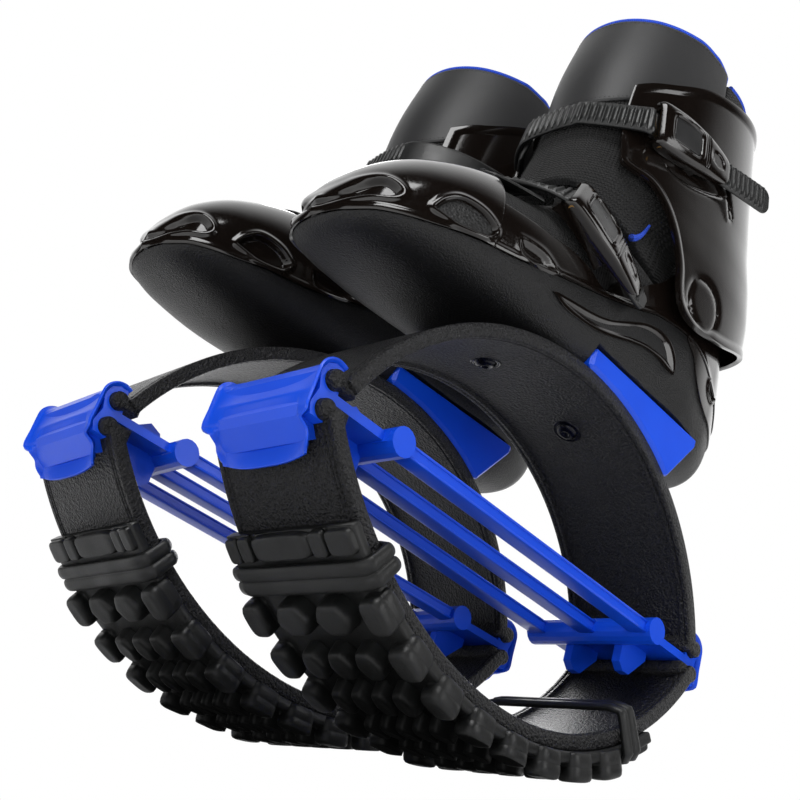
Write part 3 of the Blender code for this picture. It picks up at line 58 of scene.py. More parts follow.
TOE_OUT = math.radians(2)
LEFT_SHOE = Matrix.Translation((0.0623, 0.0124, 0.0988)) @ Matrix.Rotation(TOE_OUT, 4, "Z")
RIGHT_SHOE = (Matrix.Translation((-0.0623, -0.0096, 0.0988)) @ Matrix.Rotation(-TOE_OUT, 4, "Z")
              @ Matrix.Diagonal((-1, 1, 1, 1)))


def aim_camera(azimuth, elevation, roll, place, lens):
    """A camera at a place, its view turned by an azimuth and elevation of the way back to it, then rolled."""
    a, e, r = math.radians(azimuth), math.radians(elevation), math.radians(roll)
    across = Vector((math.cos(a), math.sin(a), 0))
    back = Vector((math.sin(a) * math.cos(e), -math.cos(a) * math.cos(e), math.sin(e)))
    up = back.cross(across)
    right = across * math.cos(r) + up * math.sin(r)
    above = up * math.cos(r) - across * math.sin(r)
    turn = Matrix((right, above, back)).transposed().to_4x4()
    eye = bpy.data.objects.new("camera", bpy.data.cameras.new("camera"))
    eye.data.lens = lens
    eye.data.clip_start = 0.01
    eye.matrix_world = LEFT_SHOE @ Matrix.Translation(place) @ turn
    bpy.context.scene.collection.objects.link(eye)
    bpy.context.scene.camera = eye


aim_camera(azimuth=51.21, elevation=-26.56, roll=18.0, place=(0.4019, -0.3999, -0.2164), lens=54.81)


def linear(hex_value):
    """Linear colour from an sRGB hex number: each channel's share of 255, with the sRGB curve undone."""
    shares = [(hex_value >> shift & 255) / 255 for shift in (16, 8, 0)]
    return [s / 12.92 if s <= 0.04045 else ((s + 0.055) / 1.055) ** 2.4 for s in shares] + [1.0]


def add(tree, kind, feeds=(), into=None, **settings):
    """Adds a node, sets its properties and inputs by name, and links it.

    Each of the feeds is (what goes in, input): a node's first output, a named output or a plain value. Where
    into gives another node and its input, the node's own first output goes there.
    """
    made = tree.nodes.new("ShaderNode" + kind)
    for key, value in settings.items():
        if hasattr(made, key):
            setattr(made, key, value)
    for key, value in settings.items():
        if not hasattr(made, key):
            made.inputs[key.replace("_", " ")].default_value = value
    for source, target in feeds:
        if isinstance(source, (bpy.types.Node, bpy.types.NodeSocket)):
            tree.links.new(getattr(source, "outputs", [source])[0], made.inputs[target])
        else:
            made.inputs[target].default_value = source
    if into:
        tree.links.new(made.outputs[0], into[0].inputs[into[1]])
    return made


def new_material(name, hex_value, roughness, **settings):
    """A material, its tree, its one shader with plain values set on it, and its object coordinates."""
    made = bpy.data.materials.new(name)
    made.use_nodes = True
    tree = made.node_tree
    shader = tree.nodes["Principled BSDF"]
    shader.inputs["Base Color"].default_value = linear(hex_value)
    shader.inputs["Roughness"].default_value = roughness
    for key, value in settings.items():
        shader.inputs[key.replace("_", " ")].default_value = value
    made.diffuse_color = linear(hex_value)
    return made, tree, shader, add(tree, "TexCoord").outputs["Object"]


def link_new(name, data):
    """A new object of the scene, at the origin."""
    made = bpy.data.objects.new(name, data)
    bpy.context.scene.collection.objects.link(made)
    return made


def make_floor():
    """A flat sheet with its middle faded to the backdrop's white, clear when seen from below."""
    work = bmesh.new()
    bmesh.ops.create_grid(work, x_segments=1, y_segments=1, size=6)
    mesh = bpy.data.meshes.new("floor")
    work.to_mesh(mesh)
    work.free()
    floor = link_new("floor", mesh)
    paint, tree, shader, place = new_material("pale_floor", 0xECECEC, 0.8)
    shader.inputs["Emission Color"].default_value = linear(0xFFFFFF)
    away = add(tree, "VectorMath", [(place, 0)], operation="LENGTH")
    add(tree, "MapRange", [(away.outputs["Value"], "Value")], (shader, "Emission Strength"),
        From_Min=0.25, From_Max=1.1, To_Max=0.95)
    side, clear = add(tree, "NewGeometry"), add(tree, "BsdfTransparent")
    add(tree, "MixShader", [(side.outputs["Backfacing"], 0), (shader, 1), (clear, 2)],
        (tree.nodes["Material Output"], 0))
    mesh.materials.append(paint)
    floor.visible_shadow = False


make_floor()


def make_light(name, place, target, width, height, watts):
    """A soft box: a flat light at a place, turned to a target."""
    lamp = bpy.data.lights.new(name, "AREA")
    lamp.shape = "RECTANGLE"
    lamp.size = width
    lamp.size_y = height
    lamp.energy = watts
    made = link_new(name, lamp)
    made.location = place
    made.rotation_euler = (Vector(target) - Vector(place)).to_track_quat("-Z", "Y").to_euler()


make_light("key_box", (0.9, -1.1, 1.5), (0, 0, 0.2), width=0.9, height=0.9, watts=22)
make_light("side_box", (1.6, 0.5, 0.5), (0.1, 0, 0.25), width=0.5, height=1.2, watts=8)
make_light("low_box", (0.7, -1.4, -0.5), (0, 0, 0.15), width=1.0, height=0.5, watts=6)
make_light("back_box", (-1.2, 1.0, 1.2), (0, 0, 0.2), width=1.0, height=1.0, watts=18)


def make_world():
    """A white backdrop that sheds a soft grey light, and is mirrored only beyond and above the pair."""
    world = bpy.data.worlds.new("studio")
    bpy.context.scene.world = world
    world.use_nodes = True
    tree = world.node_tree
    shade = tree.nodes["Background"]
    shade.inputs["Color"].default_value = linear(0xFFFFFF)
    shade.inputs["Strength"].default_value = 0.24
    white = add(tree, "Background", Color=linear(0xFFFFFF), Strength=1.0)
    path = add(tree, "LightPath")
    way = add(tree, "NewGeometry")
    beyond_and_above = (0.52, -0.52, -0.68)
    towards = add(tree, "VectorMath", [(way.outputs["Incoming"], 0), (beyond_and_above, 1)],
                  operation="DOT_PRODUCT")
    ramp = add(tree, "MapRange", [(towards.outputs["Value"], "Value")], interpolation_type="SMOOTHSTEP",
               From_Min=0.38, From_Max=0.84, To_Min=0.01, To_Max=1.3)
    mirrored = add(tree, "Background", [(ramp, "Strength")], Color=linear(0xFFFFFF))
    shiny = add(tree, "Math", [(path.outputs["Is Glossy Ray"], 0), (path.outputs["Is Transmission Ray"], 1)],
                operation="MAXIMUM")
    first = add(tree, "MixShader", [(shiny, 0), (shade, 1), (mirrored, 2)])
    add(tree, "MixShader", [(path.outputs["Is Camera Ray"], 0), (first, 1), (white, 2)],
        (tree.nodes["World Output"], 0))


make_world()
bpy.context.scene.view_settings.view_transform = "Standard"

# Boot shell
# The boot is one hull split by a parting line. Above it is a shell moulded in black plastic from a polished
# tool, with vents, a toe slot and a scoop sunk in it. It is a grid on the hull, thickened inwards, with
# softened rims.

BOOT_LENGTH, BOOT_HALF_WIDTH, TOE_TIP = 0.295, 0.050, -0.152
HULL_BASE, HULL_HEIGHT, WAIST_SHARE = 0.092, 0.140, 0.38
HULL_START, HULL_END, TOE_CAP_REAR, HEEL_ROUND = -0.004, 1.004, 0.215, 0.955
TOE_SHIFT, TOE_SHIFT_SHARE = 0.010, 0.35
SIDE_POWER, CREST_POWER_TOE, CREST_POWER_GAIN, UNDERSIDE_POWER = 0.8, 2.1, 1.1, 3.2
SHELL_PROUD, SHELL_WALL, RIM_ROUNDING, ROLL_RISE, ROLL_WIDTH = 0.0006, 0.0034, 0.0009, 0.0009, 0.0028
LIP_OUT, LIP_WIDTH = 0.0014, 0.0015
TOE_COLUMNS, SIDE_COLUMNS, CAP_COLUMNS = 64, 36, 22

# Rows of the hull: share of its length, then of its half width, and of its height at the underside and top
HULL_ROWS = np.array([
    (-0.004, 0.00, 0.060, 0.120), (0.000, 0.14, 0.050, 0.13), (0.010, 0.40, 0.030, 0.21),
    (0.041, 0.64, 0.010, 0.31), (0.108, 0.82, 0.000, 0.43), (0.203, 0.94, 0.000, 0.53),
    (0.312, 0.98, 0.010, 0.60), (0.414, 0.96, 0.015, 0.75), (0.515, 0.93, 0.020, 0.94),
    (0.651, 0.94, 0.035, 1.00), (0.769, 0.96, 0.045, 0.985), (0.871, 0.83, 0.045, 0.93),
    (0.946, 0.60, 0.065, 0.80), (0.986, 0.40, 0.130, 0.69), (1.000, 0.18, 0.230, 0.56),
    (1.004, 0.00, 0.250, 0.54)])
# Side lines of the boot: share of its length, share of its height
PARTING = np.array([
    (-0.01, 0.050), (0.01, 0.052), (0.04, 0.066), (0.10, 0.090), (0.173, 0.122), (0.268, 0.160),
    (0.350, 0.219), (0.453, 0.297), (0.583, 0.401), (0.650, 0.458), (0.713, 0.482), (0.74, 0.485),
    (0.80, 0.455), (1.00, 0.34),
    (1.01, 0.34)])
SHELL_TOP = np.array([
    (-0.01, 0.115), (0.00, 0.120), (0.018, 0.170), (0.04, 0.222), (0.08, 0.254), (0.12, 0.272),
    (0.153, 0.288), (0.193, 0.314), (0.215, 0.325), (0.323, 0.344), (0.380, 0.365), (0.427, 0.368),
    (0.461, 0.352), (0.482, 0.345),
    (0.500, 0.362), (0.514, 0.430), (0.560, 0.455), (0.600, 0.540), (0.635, 0.600), (0.680, 0.715),
    (0.79, 0.745), (1.01, 0.770)])


def flow(at, table, column=1):
    """A monotone cubic of a table's column over its first column.

    It is made of Hermite pieces, whose slope at a row is the harmonic mean of the slopes beside it.
    """
    knots, values = table[:, 0], table[:, column]
    at = np.clip(np.asarray(at, float), knots[0], knots[-1])
    step = np.diff(knots)
    rise = np.diff(values) / step
    same = rise[:-1] * rise[1:] > 0
    total = np.where(same, rise[:-1] + rise[1:], 1)
    slope = np.concatenate([rise[:1], np.where(same, 2 * rise[:-1] * rise[1:] / total, 0), rise[-1:]])
    i = np.clip(np.searchsorted(knots, at) - 1, 0, len(step) - 1)
    t = (at - knots[i]) / step[i]
    near = values[i] * (1 + 2 * t) * (1 - t) ** 2 + step[i] * slope[i] * t * (1 - t) ** 2
    return near + values[i + 1] * t * t * (3 - 2 * t) + step[i] * slope[i + 1] * t * t * (t - 1)


def level(line, at):
    """The straight-sided line's second value at a first one."""
    return np.interp(at, line[:, 0], line[:, 1])


def coordinates(*values):
    """Values side by side in a new last axis, each spread to one shape."""
    return np.stack(np.broadcast_arrays(*values), axis=-1)


def hull_heights(share):
    """Heights of the hull's underside, widest level and top at a share of its length."""
    low, high = (HULL_BASE + HULL_HEIGHT * flow(share, HULL_ROWS, column) for column in (2, 3))
    return low, low + (high - low) * WAIST_SHARE, high


def hull(share, turn):
    """The hull: a superellipse across at each share of its length, its crown rounder at the toe."""
    share, turn = np.broadcast_arrays(np.asarray(share, float), np.asarray(turn, float))
    half = BOOT_HALF_WIDTH * flow(share, HULL_ROWS)
    low, waist, high = hull_heights(share)
    side, rise = np.cos(turn), np.abs(np.sin(turn))
    shift = TOE_SHIFT * np.maximum(0, 1 - share / TOE_SHIFT_SHARE) ** 2
    x = half * np.sign(side) * np.abs(side) ** SIDE_POWER - shift
    over = (high - waist) * rise ** (2 / (CREST_POWER_TOE + CREST_POWER_GAIN * share))
    z = waist + np.where(np.sin(turn) > 0, over, -(waist - low) * rise ** (2 / UNDERSIDE_POWER))
    return coordinates(x, TOE_TIP + BOOT_LENGTH * share, z)


def hull_turn(share, up):
    """The turn about the hull's length, on its outer side, at which it stands at a share of its height."""
    low, waist, high = hull_heights(share)
    z = HULL_BASE + HULL_HEIGHT * up
    over = np.clip((z - waist) / (high - waist), 0, 1) ** ((CREST_POWER_TOE + CREST_POWER_GAIN * share) / 2)
    under = np.clip((waist - z) / (waist - low), 0, 1) ** (UNDERSIDE_POWER / 2)
    return np.arcsin(np.where(z > waist, over, -under))


def out_of(surface, first, second):
    """Directions out of a surface: the cross of its slopes along both parameters."""
    step_a, step_b = 0.0006, 0.002
    along = surface(first + step_a, second) - surface(first - step_a, second)
    around = surface(first, second + step_b) - surface(first, second - step_b)
    out = np.cross(along, around)
    return out / np.maximum(np.linalg.norm(out, axis=-1, keepdims=True), 1e-12)


def raised(surface, first, second, outset):
    """Points of a surface moved out along its normal."""
    return surface(first, second) + out_of(surface, first, second) * np.asarray(outset)[..., None]


def grid(points, wrap=False, ends=False):
    """Vertices and faces of a grid of points, closed round its columns, or its ends capped by fans."""
    rows, columns = points.shape[:2]
    index = np.arange(rows * columns).reshape(rows, columns)
    if wrap:
        index = np.hstack([index, index[:, :1]])
    faces = coordinates(index[:-1, :-1], index[1:, :-1], index[1:, 1:], index[:-1, 1:]).reshape(-1,
                                                                                                4).tolist()
    vertices = points.reshape(-1, 3)
    if ends:
        vertices = np.vstack([vertices, points[0].mean(axis=0), points[-1].mean(axis=0)])
        first, last = len(vertices) - 2, len(vertices) - 1
        faces += [[first, a, b] for a, b in zip(index[0, :-1].tolist(), index[0, 1:].tolist())]
        faces += [[last, b, a] for a, b in zip(index[-1, :-1].tolist(), index[-1, 1:].tolist())]
    return vertices, faces


def turned_over(faces):
    """Faces seen from their other side."""
    return [face[::-1] for face in faces]


def together(*shapes):
    """Several shapes as one list of vertices and faces."""
    vertices, faces, base = [], [], 0
    for points, corners in shapes:
        vertices.append(points)
        faces += [[corner + base for corner in face] for face in corners]
        base += len(points)
    return np.vstack(vertices), faces


def weld_mesh(mesh):
    """Joins a mesh's doubled vertices, and takes out the faces that this leaves flat."""
    work = bmesh.new()
    work.from_mesh(mesh)
    bmesh.ops.remove_doubles(work, verts=work.verts, dist=2e-5)
    bmesh.ops.dissolve_degenerate(work, dist=1e-6, edges=work.edges)
    work.to_mesh(mesh)
    work.free()


def round_edges(piece, width, segments, least_angle):
    """Rounds a piece's edges that turn by more than an angle."""
    soft = piece.modifiers.new("rounding", "BEVEL")
    soft.width = width
    soft.segments = segments
    soft.angle_limit = math.radians(least_angle)


def pair(name, shape, paint, body, stands_for=(), wall=0, rounding=0, segments=2, weld=False,
         uv=None):
    """A piece for the left shoe and its mirror image for the right, thickened inwards, its edges rounded.

    It rides on a body, stands for nodes of the frame, and takes its finish.
    materials have named first, so a number that the paint's name gained from that is left off.
    """
    vertices, faces = shape
    made = []
    for side, place in (("left", LEFT_SHOE), ("right", RIGHT_SHOE)):
        turn = np.array(place)
        mesh = bpy.data.meshes.new(f"{side}_{name}")
        corners = faces if side == "left" else turned_over(faces)
        mesh.from_pydata((vertices @ turn[:3, :3].T + turn[:3, 3]).tolist(), [], corners)
        if uv is not None:
            order = np.zeros(len(mesh.loops), dtype=np.int32)
            mesh.loops.foreach_get("vertex_index", order)
            mesh.uv_layers.new(name="cloth").data.foreach_set("uv", uv[order].astype(np.float32).ravel())
        if weld:
            weld_mesh(mesh)
        mesh.shade_smooth()
        mesh.materials.append(paint)
        piece = link_new(f"{side}_{name}", mesh)
        if wall:
            thick = piece.modifiers.new("wall", "SOLIDIFY")
            thick.thickness = wall
            thick.offset = -1
        if rounding:
            round_edges(piece, rounding, segments, 38)
        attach(piece, body.format(side))
        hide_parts(*[f"{side}_{node}" for node in stands_for])
        made.append(piece)
    return made


def run_along(path):
    """How far along a path each of its points lies."""
    return np.concatenate([[0], np.cumsum(np.linalg.norm(np.diff(path, axis=0), axis=1))])


def smooth_line(points, count):
    """A Catmull-Rom curve through points, resampled to a count of points at even spacing along it."""
    points = np.asarray(points, float)
    p = np.vstack([2 * points[0] - points[1], points, 2 * points[-1] - points[-2]])
    t = np.linspace(0, 1, 12, endpoint=False)[:, None, None]
    a, b, c, d = p[None, :-3], p[None, 1:-2], p[None, 2:-1], p[None, 3:]
    bend, twist = 2 * a - 5 * b + 4 * c - d, 3 * b - a - 3 * c + d
    fine = 0.5 * (2 * b + (c - a) * t + bend * t ** 2 + twist * t ** 3)
    fine = np.vstack([fine.transpose(1, 0, 2).reshape(-1, points.shape[1]), points[-1:]])
    run = run_along(fine)
    at = np.linspace(0, run[-1], count)
    return coordinates(*(np.interp(at, run, fine[:, k]) for k in range(points.shape[1])))


def distance_to(line, y, z):
    """Distance from side-view points to a polyline, as the least over its segments."""
    best = np.full(np.shape(y), 1e9)
    for (ya, za), (yb, zb) in zip(line[:-1], line[1:]):
        dy, dz = yb - ya, zb - za
        t = np.clip(((y - ya) * dy + (z - za) * dz) / (dy * dy + dz * dz + 1e-12), 0, 1)
        best = np.minimum(best, np.hypot(y - ya - t * dy, z - za - t * dz))
    return best


def depth_in(outline, y, z):
    """Depth of side-view points in a closed outline, negative outside it.

    A point is inside where a level ray from it crosses the outline an odd number of times.
    """
    crossed = np.zeros(np.shape(y), dtype=bool)
    for (ya, za), (yb, zb) in zip(outline, np.roll(outline, -1, axis=0)):
        spans = (za > z) != (zb > z)
        crossed ^= spans & (y < (yb - ya) * (z - za) / (zb - za + 1e-12) + ya)
    return distance_to(outline, y, z) * np.where(crossed, 1, -1)


def smooth_step(value):
    """A value held within 0 and 1, eased at both ends: three squares less two cubes."""
    value = np.clip(value, 0, 1)
    return value * value * (3 - 2 * value)


def bell(value, middle, width):
    """A bell curve of a value about a middle: e to the minus square of the widths between them."""
    return np.exp(-((value - middle) / width) ** 2)


def side_view(points):
    """Side-view places (y, z) of points given in shares of the boot's length and height."""
    points = np.asarray(points, float)
    return coordinates(TOE_TIP + BOOT_LENGTH * points[:, 0], HULL_BASE + HULL_HEIGHT * points[:, 1])


VENT = smooth_line(side_view([
    (0.105, 0.149), (0.118, 0.197), (0.142, 0.233), (0.180, 0.230), (0.208, 0.198), (0.203, 0.168),
    (0.183, 0.150), (0.145, 0.139), (0.105, 0.149)]), 60)
TOE_SLOT = smooth_line(side_view([
    (-0.03, 0.106), (-0.004, 0.106), (0.004, 0.128), (0.012, 0.156), (0.020, 0.178), (0.033, 0.190),
    (0.046, 0.178), (0.055, 0.150), (0.045, 0.126), (0.024, 0.112), (0.010, 0.096), (-0.004, 0.082),
    (-0.03, 0.082), (-0.03, 0.106)]), 90)
SCOOP_DISH = smooth_line(side_view([
    (0.259, 0.235), (0.287, 0.247), (0.319, 0.251), (0.352, 0.226), (0.335, 0.207), (0.292, 0.184),
    (0.267, 0.197), (0.259, 0.235)]), 60)
# Each dish of the shell: outline, depth, width of its slope, height of its lip
SHELL_DISHES = ((VENT, 0.0034, 0.0022, 0.0011), (TOE_SLOT, 0.0034, 0.0020, 0.0009),
                (SCOOP_DISH, 0.0022, 0.0050, 0.0004))


def shell_relief(shares, turns):
    """The shell's relief: dishes sunk by a smooth step inside a bell-shaped lip, and a rolled lower edge."""
    flat = hull(shares, turns)
    y, z = flat[..., 1], flat[..., 2]
    lift = np.zeros(y.shape)
    for outline, depth, width, lip in SHELL_DISHES:
        within = depth_in(outline, y, z)
        depth = depth * (0.4 + 0.6 * smooth_step(shares / 0.02))
        lift += lip * bell(within, -LIP_OUT, LIP_WIDTH) - depth * smooth_step(within / width + 0.2)
    above = z - HULL_BASE - HULL_HEIGHT * flow(shares, PARTING)
    return lift + ROLL_RISE * smooth_step(1.4 - above / ROLL_WIDTH)


toe_shares = HULL_START + (TOE_CAP_REAR - HULL_START) * np.linspace(0, 1, 96) ** 1.45
heel_shares = HULL_END - (HULL_END - HEEL_ROUND) * np.linspace(1, 0, 22)[1:] ** 1.6
rear_shares = np.concatenate([np.linspace(TOE_CAP_REAR, HEEL_ROUND, 220), heel_shares])


def shell_half(way):
    """The shell on one side: from the parting line up to its top edge, and at the toe on up to the crown.

    Close to the toe's tip the relief moves points up and along only, so that the tip stays even.
    """
    shapes = []
    for shares, columns in ((toe_shares, TOE_COLUMNS), (rear_shares, SIDE_COLUMNS)):
        low, high = hull_turn(shares, flow(shares, PARTING)), hull_turn(shares, level(SHELL_TOP, shares))
        turns = low[:, None] + (high - low)[:, None] * np.linspace(0, 1, columns)
        shapes.append((np.broadcast_to(shares[:, None], turns.shape), turns))
    start = shapes[0][1][:, -1:]
    cap = start + (math.pi / 2 - start) * np.linspace(0, 1, CAP_COLUMNS)
    lean = np.interp(cap, [0.3, 0.75, math.pi / 2], [0, 0.002, 0.020])
    lean = lean * np.clip(toe_shares / TOE_CAP_REAR, 0, 1)[:, None] ** 4
    shapes.append((toe_shares[:, None] + lean, cap))
    grids = []
    for shares, turns in shapes:
        if way < 0:
            shares, turns = shares[:, ::-1], math.pi - turns[:, ::-1]
        points = raised(hull, shares, turns, SHELL_PROUD + shell_relief(shares, turns))
        middle = hull(shares, turns)[..., 0]
        points[..., 0] = middle + (points[..., 0] - middle) * smooth_step((shares - HULL_START) / 0.007)
        grids.append(grid(points))
    return together(*grids)


def per_metre(millimetres):
    """How many of a pattern's cells lie in a metre, from the size of one in millimetres."""
    return 1000 / millimetres


def paint_gloss():
    """Polished black moulding: near black with a warm cast, its sharp highlights a little wavy and scuffed.

    The waves are 17 mm long. The scuffs are 1.1 mm wide, coarser than real ones, which would not show.
    """
    paint, tree, shader, place = new_material("gloss_black", 0x0E0A08, 0.10, IOR=1.52)
    wave = add(tree, "TexNoise", [(place, "Vector")], Scale=per_metre(16.667), Detail=2.0)
    add(tree, "Bump", [(wave, "Height")], (shader, "Normal"), Strength=0.10, Distance=0.0006)
    scuff = add(tree, "TexNoise", [(place, "Vector")], Scale=per_metre(1.1111), Detail=4.0)
    add(tree, "MapRange", [(scuff, "Value")], (shader, "Roughness"), From_Min=0.3, From_Max=0.8, To_Min=0.07,
        To_Max=0.2)
    return paint


GLOSS_BLACK = paint_gloss()
pair("glossy_shell", together(shell_half(1), shell_half(-1)), GLOSS_BLACK, "{}_boot", ["boot_shell"],
     wall=SHELL_WALL, rounding=RIM_ROUNDING, weld=True, segments=3)

# Sole tray
# The hull below the parting line is a tray moulded in black plastic from a grained tool. Its underside is
# flat where it stands on the upper bow's crown and on the saddle, 0.3 mm clear of them.

SOLE_WALL, SEAT_CLEARANCE, PARTING_GAP = 0.0034, 0.0003, 0.002
SADDLE_FRONT, SADDLE_BACK, SADDLE_TOP = 0.002, 0.103, 0.115
UPPER_BOW = dict(radius=0.14401, sagitta=0.09125, bead=0.007, lean=0.006, side=1)
LOWER_BOW = dict(radius=0.16359, sagitta=0.07575, bead=0.007, lean=0.006, side=-1)
BOW_THICKNESS = 0.0075


def bow_point(bow, angle, offset):
    """A bow's arc, offset outwards: a circle about a point near the other bow, leaning back as it rises."""
    radius = bow["radius"] + offset
    up = radius * np.cos(angle) - bow["radius"] + bow["sagitta"]
    along = radius * np.sin(angle) + bow["lean"] * up / bow["sagitta"]
    return along, bow["side"] * (bow["bead"] + up)


def seat_height(y):
    """Height of what the sole stands on at a place along it: the bow's crown, or the saddle's top."""
    angles = np.linspace(-1.1, 1.1, 400)
    along, up = bow_point(UPPER_BOW, angles, BOW_THICKNESS / 2 + SEAT_CLEARANCE)
    crown = np.interp(y, along, up, left=0, right=0)
    on_saddle = (y > SADDLE_FRONT - SEAT_CLEARANCE) & (y < SADDLE_BACK + SEAT_CLEARANCE)
    return np.where(on_saddle, SADDLE_TOP + SEAT_CLEARANCE, crown)


def sole_grid():
    """The sole tray: the hull below the parting line, flattened onto the bow and the saddle.

    Two more rows stand close together at each end of the saddle, where the tray steps down.
    """
    edges = [(SADDLE_FRONT - SEAT_CLEARANCE) * 1.001, (SADDLE_BACK + SEAT_CLEARANCE) * 1.001]
    steps = [(edge + step - TOE_TIP) / BOOT_LENGTH for edge in edges for step in (-0.0001, 0.0001)]
    middle = np.linspace(TOE_CAP_REAR, HEEL_ROUND, 190)
    shares = np.sort(np.concatenate([toe_shares[:-1:2], middle, heel_shares, steps]))
    start = hull_turn(shares, flow(shares, PARTING) - PARTING_GAP)
    down = start[:, None] + (-math.pi / 2 - start)[:, None] * np.linspace(0, 1, 34)
    turns = np.hstack([-math.pi - down, down[:, -2::-1]])
    points = raised(hull, np.broadcast_to(shares[:, None], turns.shape), turns, 0.0)
    points[..., 2] = np.maximum(points[..., 2], seat_height(points[..., 1]))
    return points


def paint_grained(name, pebble, strength, depth, roughness, painted_glint):
    """Grained black moulding: shallow pebbles of a size in millimetres, whose crests are painted lighter and
    pits darker, up to a given factor of the base colour, as painted glints and painted shade.

    The three grains are drawn coarser than the tool's real grain, which is too fine to show at this distance.
    """
    paint, tree, shader, place = new_material(name, 0x070708, roughness, Specular_IOR_Level=0.34)
    grain = add(tree, "TexVoronoi", [(place, "Vector")], Scale=per_metre(pebble), feature="SMOOTH_F1")
    cloud = add(tree, "TexNoise", [(place, "Vector")], Scale=per_metre(pebble / 1.7), Detail=3.0)
    height = add(tree, "Math", [(grain, 0), (cloud, 1)], operation="ADD")
    add(tree, "Bump", [(height, "Height")], (shader, "Normal"), Strength=strength, Distance=depth)
    # The base colour is scaled by the pebbles' height: painted glints on their crests and painted shade in
    # their pits, not a colour of the plastic.
    shade = add(tree, "MapRange", [(height, "Value")], From_Min=0.55, From_Max=1.25, To_Min=0.5, To_Max=painted_glint)
    add(tree, "VectorMath", [(linear(0x070708)[:3], 0), (shade, "Scale")], (shader, "Base Color"),
        operation="SCALE")
    return paint


GRAINED_BLACK = paint_grained("grained_black", 0.90909, 0.7, 0.0005, 0.42, 2.0)
pair("grained_sole", grid(sole_grid()), GRAINED_BLACK, "{}_boot", ["sole_shell"], wall=SOLE_WALL,
     rounding=RIM_ROUNDING, weld=True)

# Inlays of the sole: side swoosh, heel counter and vent mesh
# The swoosh and the heel counter are polished black mouldings set into the grained tray. The mesh behind the
# vents is a black moulded net of close round beads.

INLAY_WALL, INLAY_ROUNDING, MESH_SUNK, MESH_WALL = 0.0016, 0.0004, 0.0016, 0.0006
SWOOSH_RIM, SWOOSH_DISH = 0.0012, 0.0016
HEEL_HOLE, HOLE_REACH, HOLE_RISE = side_view([(0.863, 0.397)])[0], 0.0060, 0.0050
COUNTER_PROUD, HOLE_LIP, HOLE_DEPTH = 0.0009, 0.0012, 0.0036
SWOOSH_UPPER = [(0.362, 0.164), (0.381, 0.177), (0.465, 0.224), (0.522, 0.266), (0.570, 0.325),
                (0.615, 0.378), (0.658, 0.401), (0.690, 0.392), (0.712, 0.345), (0.718, 0.290)]
SWOOSH_LOWER = [(0.362, 0.160), (0.403, 0.153), (0.451, 0.167), (0.509, 0.196), (0.550, 0.225),
                (0.587, 0.255), (0.625, 0.280), (0.665, 0.289), (0.695, 0.280), (0.718, 0.278)]
HEEL_LOWER = np.array([(0.735, 0.478), (0.750, 0.450), (0.765, 0.425), (0.779, 0.373), (0.797, 0.325),
                       (0.825, 0.292), (0.867, 0.276), (0.930, 0.270), (1.004, 0.270)])


def swoosh_grid():
    """The swoosh in the sole's side: a patch between two side lines, dished by a smooth step from its rim."""
    across = np.linspace(0, 1, 26)[None, :]
    lower, upper = (smooth_line(line, 150)[:, None] for line in (SWOOSH_LOWER, SWOOSH_UPPER))
    place = lower + (upper - lower) * across[..., None]
    edge = np.minimum(across, 1 - across) * np.abs(upper[..., 1] - lower[..., 1]) * HULL_HEIGHT
    lift = SWOOSH_RIM - SWOOSH_DISH * smooth_step((edge - 0.0008) / 0.0045)
    return raised(hull, place[..., 0], hull_turn(place[..., 0], place[..., 1]), lift)


def heel_counter(way):
    """The heel under the parting line on one side, with an oval hole sunk in it and a bell-shaped lip."""
    shares = np.concatenate([np.linspace(0.7365, HEEL_ROUND, 90), heel_shares[1:]])[:, None]
    high = flow(shares, PARTING) + PARTING_GAP
    low = np.minimum(flow(shares, HEEL_LOWER), high - 0.0005)
    ups = low + (high - low) * np.linspace(0, 1, 30)[None, :]
    shares = np.broadcast_to(shares, ups.shape)
    y, z = TOE_TIP + BOOT_LENGTH * shares, HULL_BASE + HULL_HEIGHT * ups
    oval = np.hypot((y - HEEL_HOLE[0]) / HOLE_REACH, (z - HEEL_HOLE[1]) / HOLE_RISE)
    lift = COUNTER_PROUD + HOLE_LIP * bell(oval, 1.28, 0.22) - HOLE_DEPTH * smooth_step((1.12 - oval) / 0.3)
    turns = hull_turn(shares, ups)
    if way < 0:
        shares, turns, lift = shares[:, ::-1], math.pi - turns[:, ::-1], lift[:, ::-1]
    return grid(raised(hull, shares, turns, lift))


def fan_patch(outline, outset):
    """A patch that fills a side outline: rings drawn from its middle out to it, on the hull at an outset."""
    middle = outline[:-1].mean(axis=0)
    place = middle + (outline[None, :-1] - middle) * np.linspace(0.02, 1.0, 12)[:, None, None]
    shares, ups = (place[..., 0] - TOE_TIP) / BOOT_LENGTH, (place[..., 1] - HULL_BASE) / HULL_HEIGHT
    points = raised(hull, shares, hull_turn(shares, ups), np.full(shares.shape, outset))
    vertices, faces = grid(points, wrap=True)
    return vertices, faces + [list(range(len(outline) - 1))[::-1]]


def paint_mesh():
    """Moulded black net: matt round beads of 1.5 mm, which read as a dark pebbled field."""
    paint, tree, shader, place = new_material("vent_mesh", 0x0A0A0B, 0.55)
    beads = add(tree, "TexVoronoi", [(place, "Vector")], Scale=per_metre(1.5385), feature="F1")
    add(tree, "Bump", [(beads, "Height")], (shader, "Normal"), Strength=1.0, Distance=-0.0006)
    return paint


pair("sole_inset", grid(swoosh_grid()), GLOSS_BLACK, "{}_boot", wall=INLAY_WALL, rounding=INLAY_ROUNDING)
pair("heel_counter", together(heel_counter(1), heel_counter(-1)), GLOSS_BLACK, "{}_boot", wall=INLAY_WALL,
     rounding=INLAY_ROUNDING, weld=True)
pair("vent_mesh", fan_patch(VENT, -MESH_SUNK), paint_mesh(), "{}_boot", wall=MESH_WALL)

# Cuff
# One curved sheet of the polished black moulding, from the front edge of the outer side round the back to the
# inner side. It has a rolled edge, a crescent scoop and an upright slot, and it tilts on a rivet at each
# side.

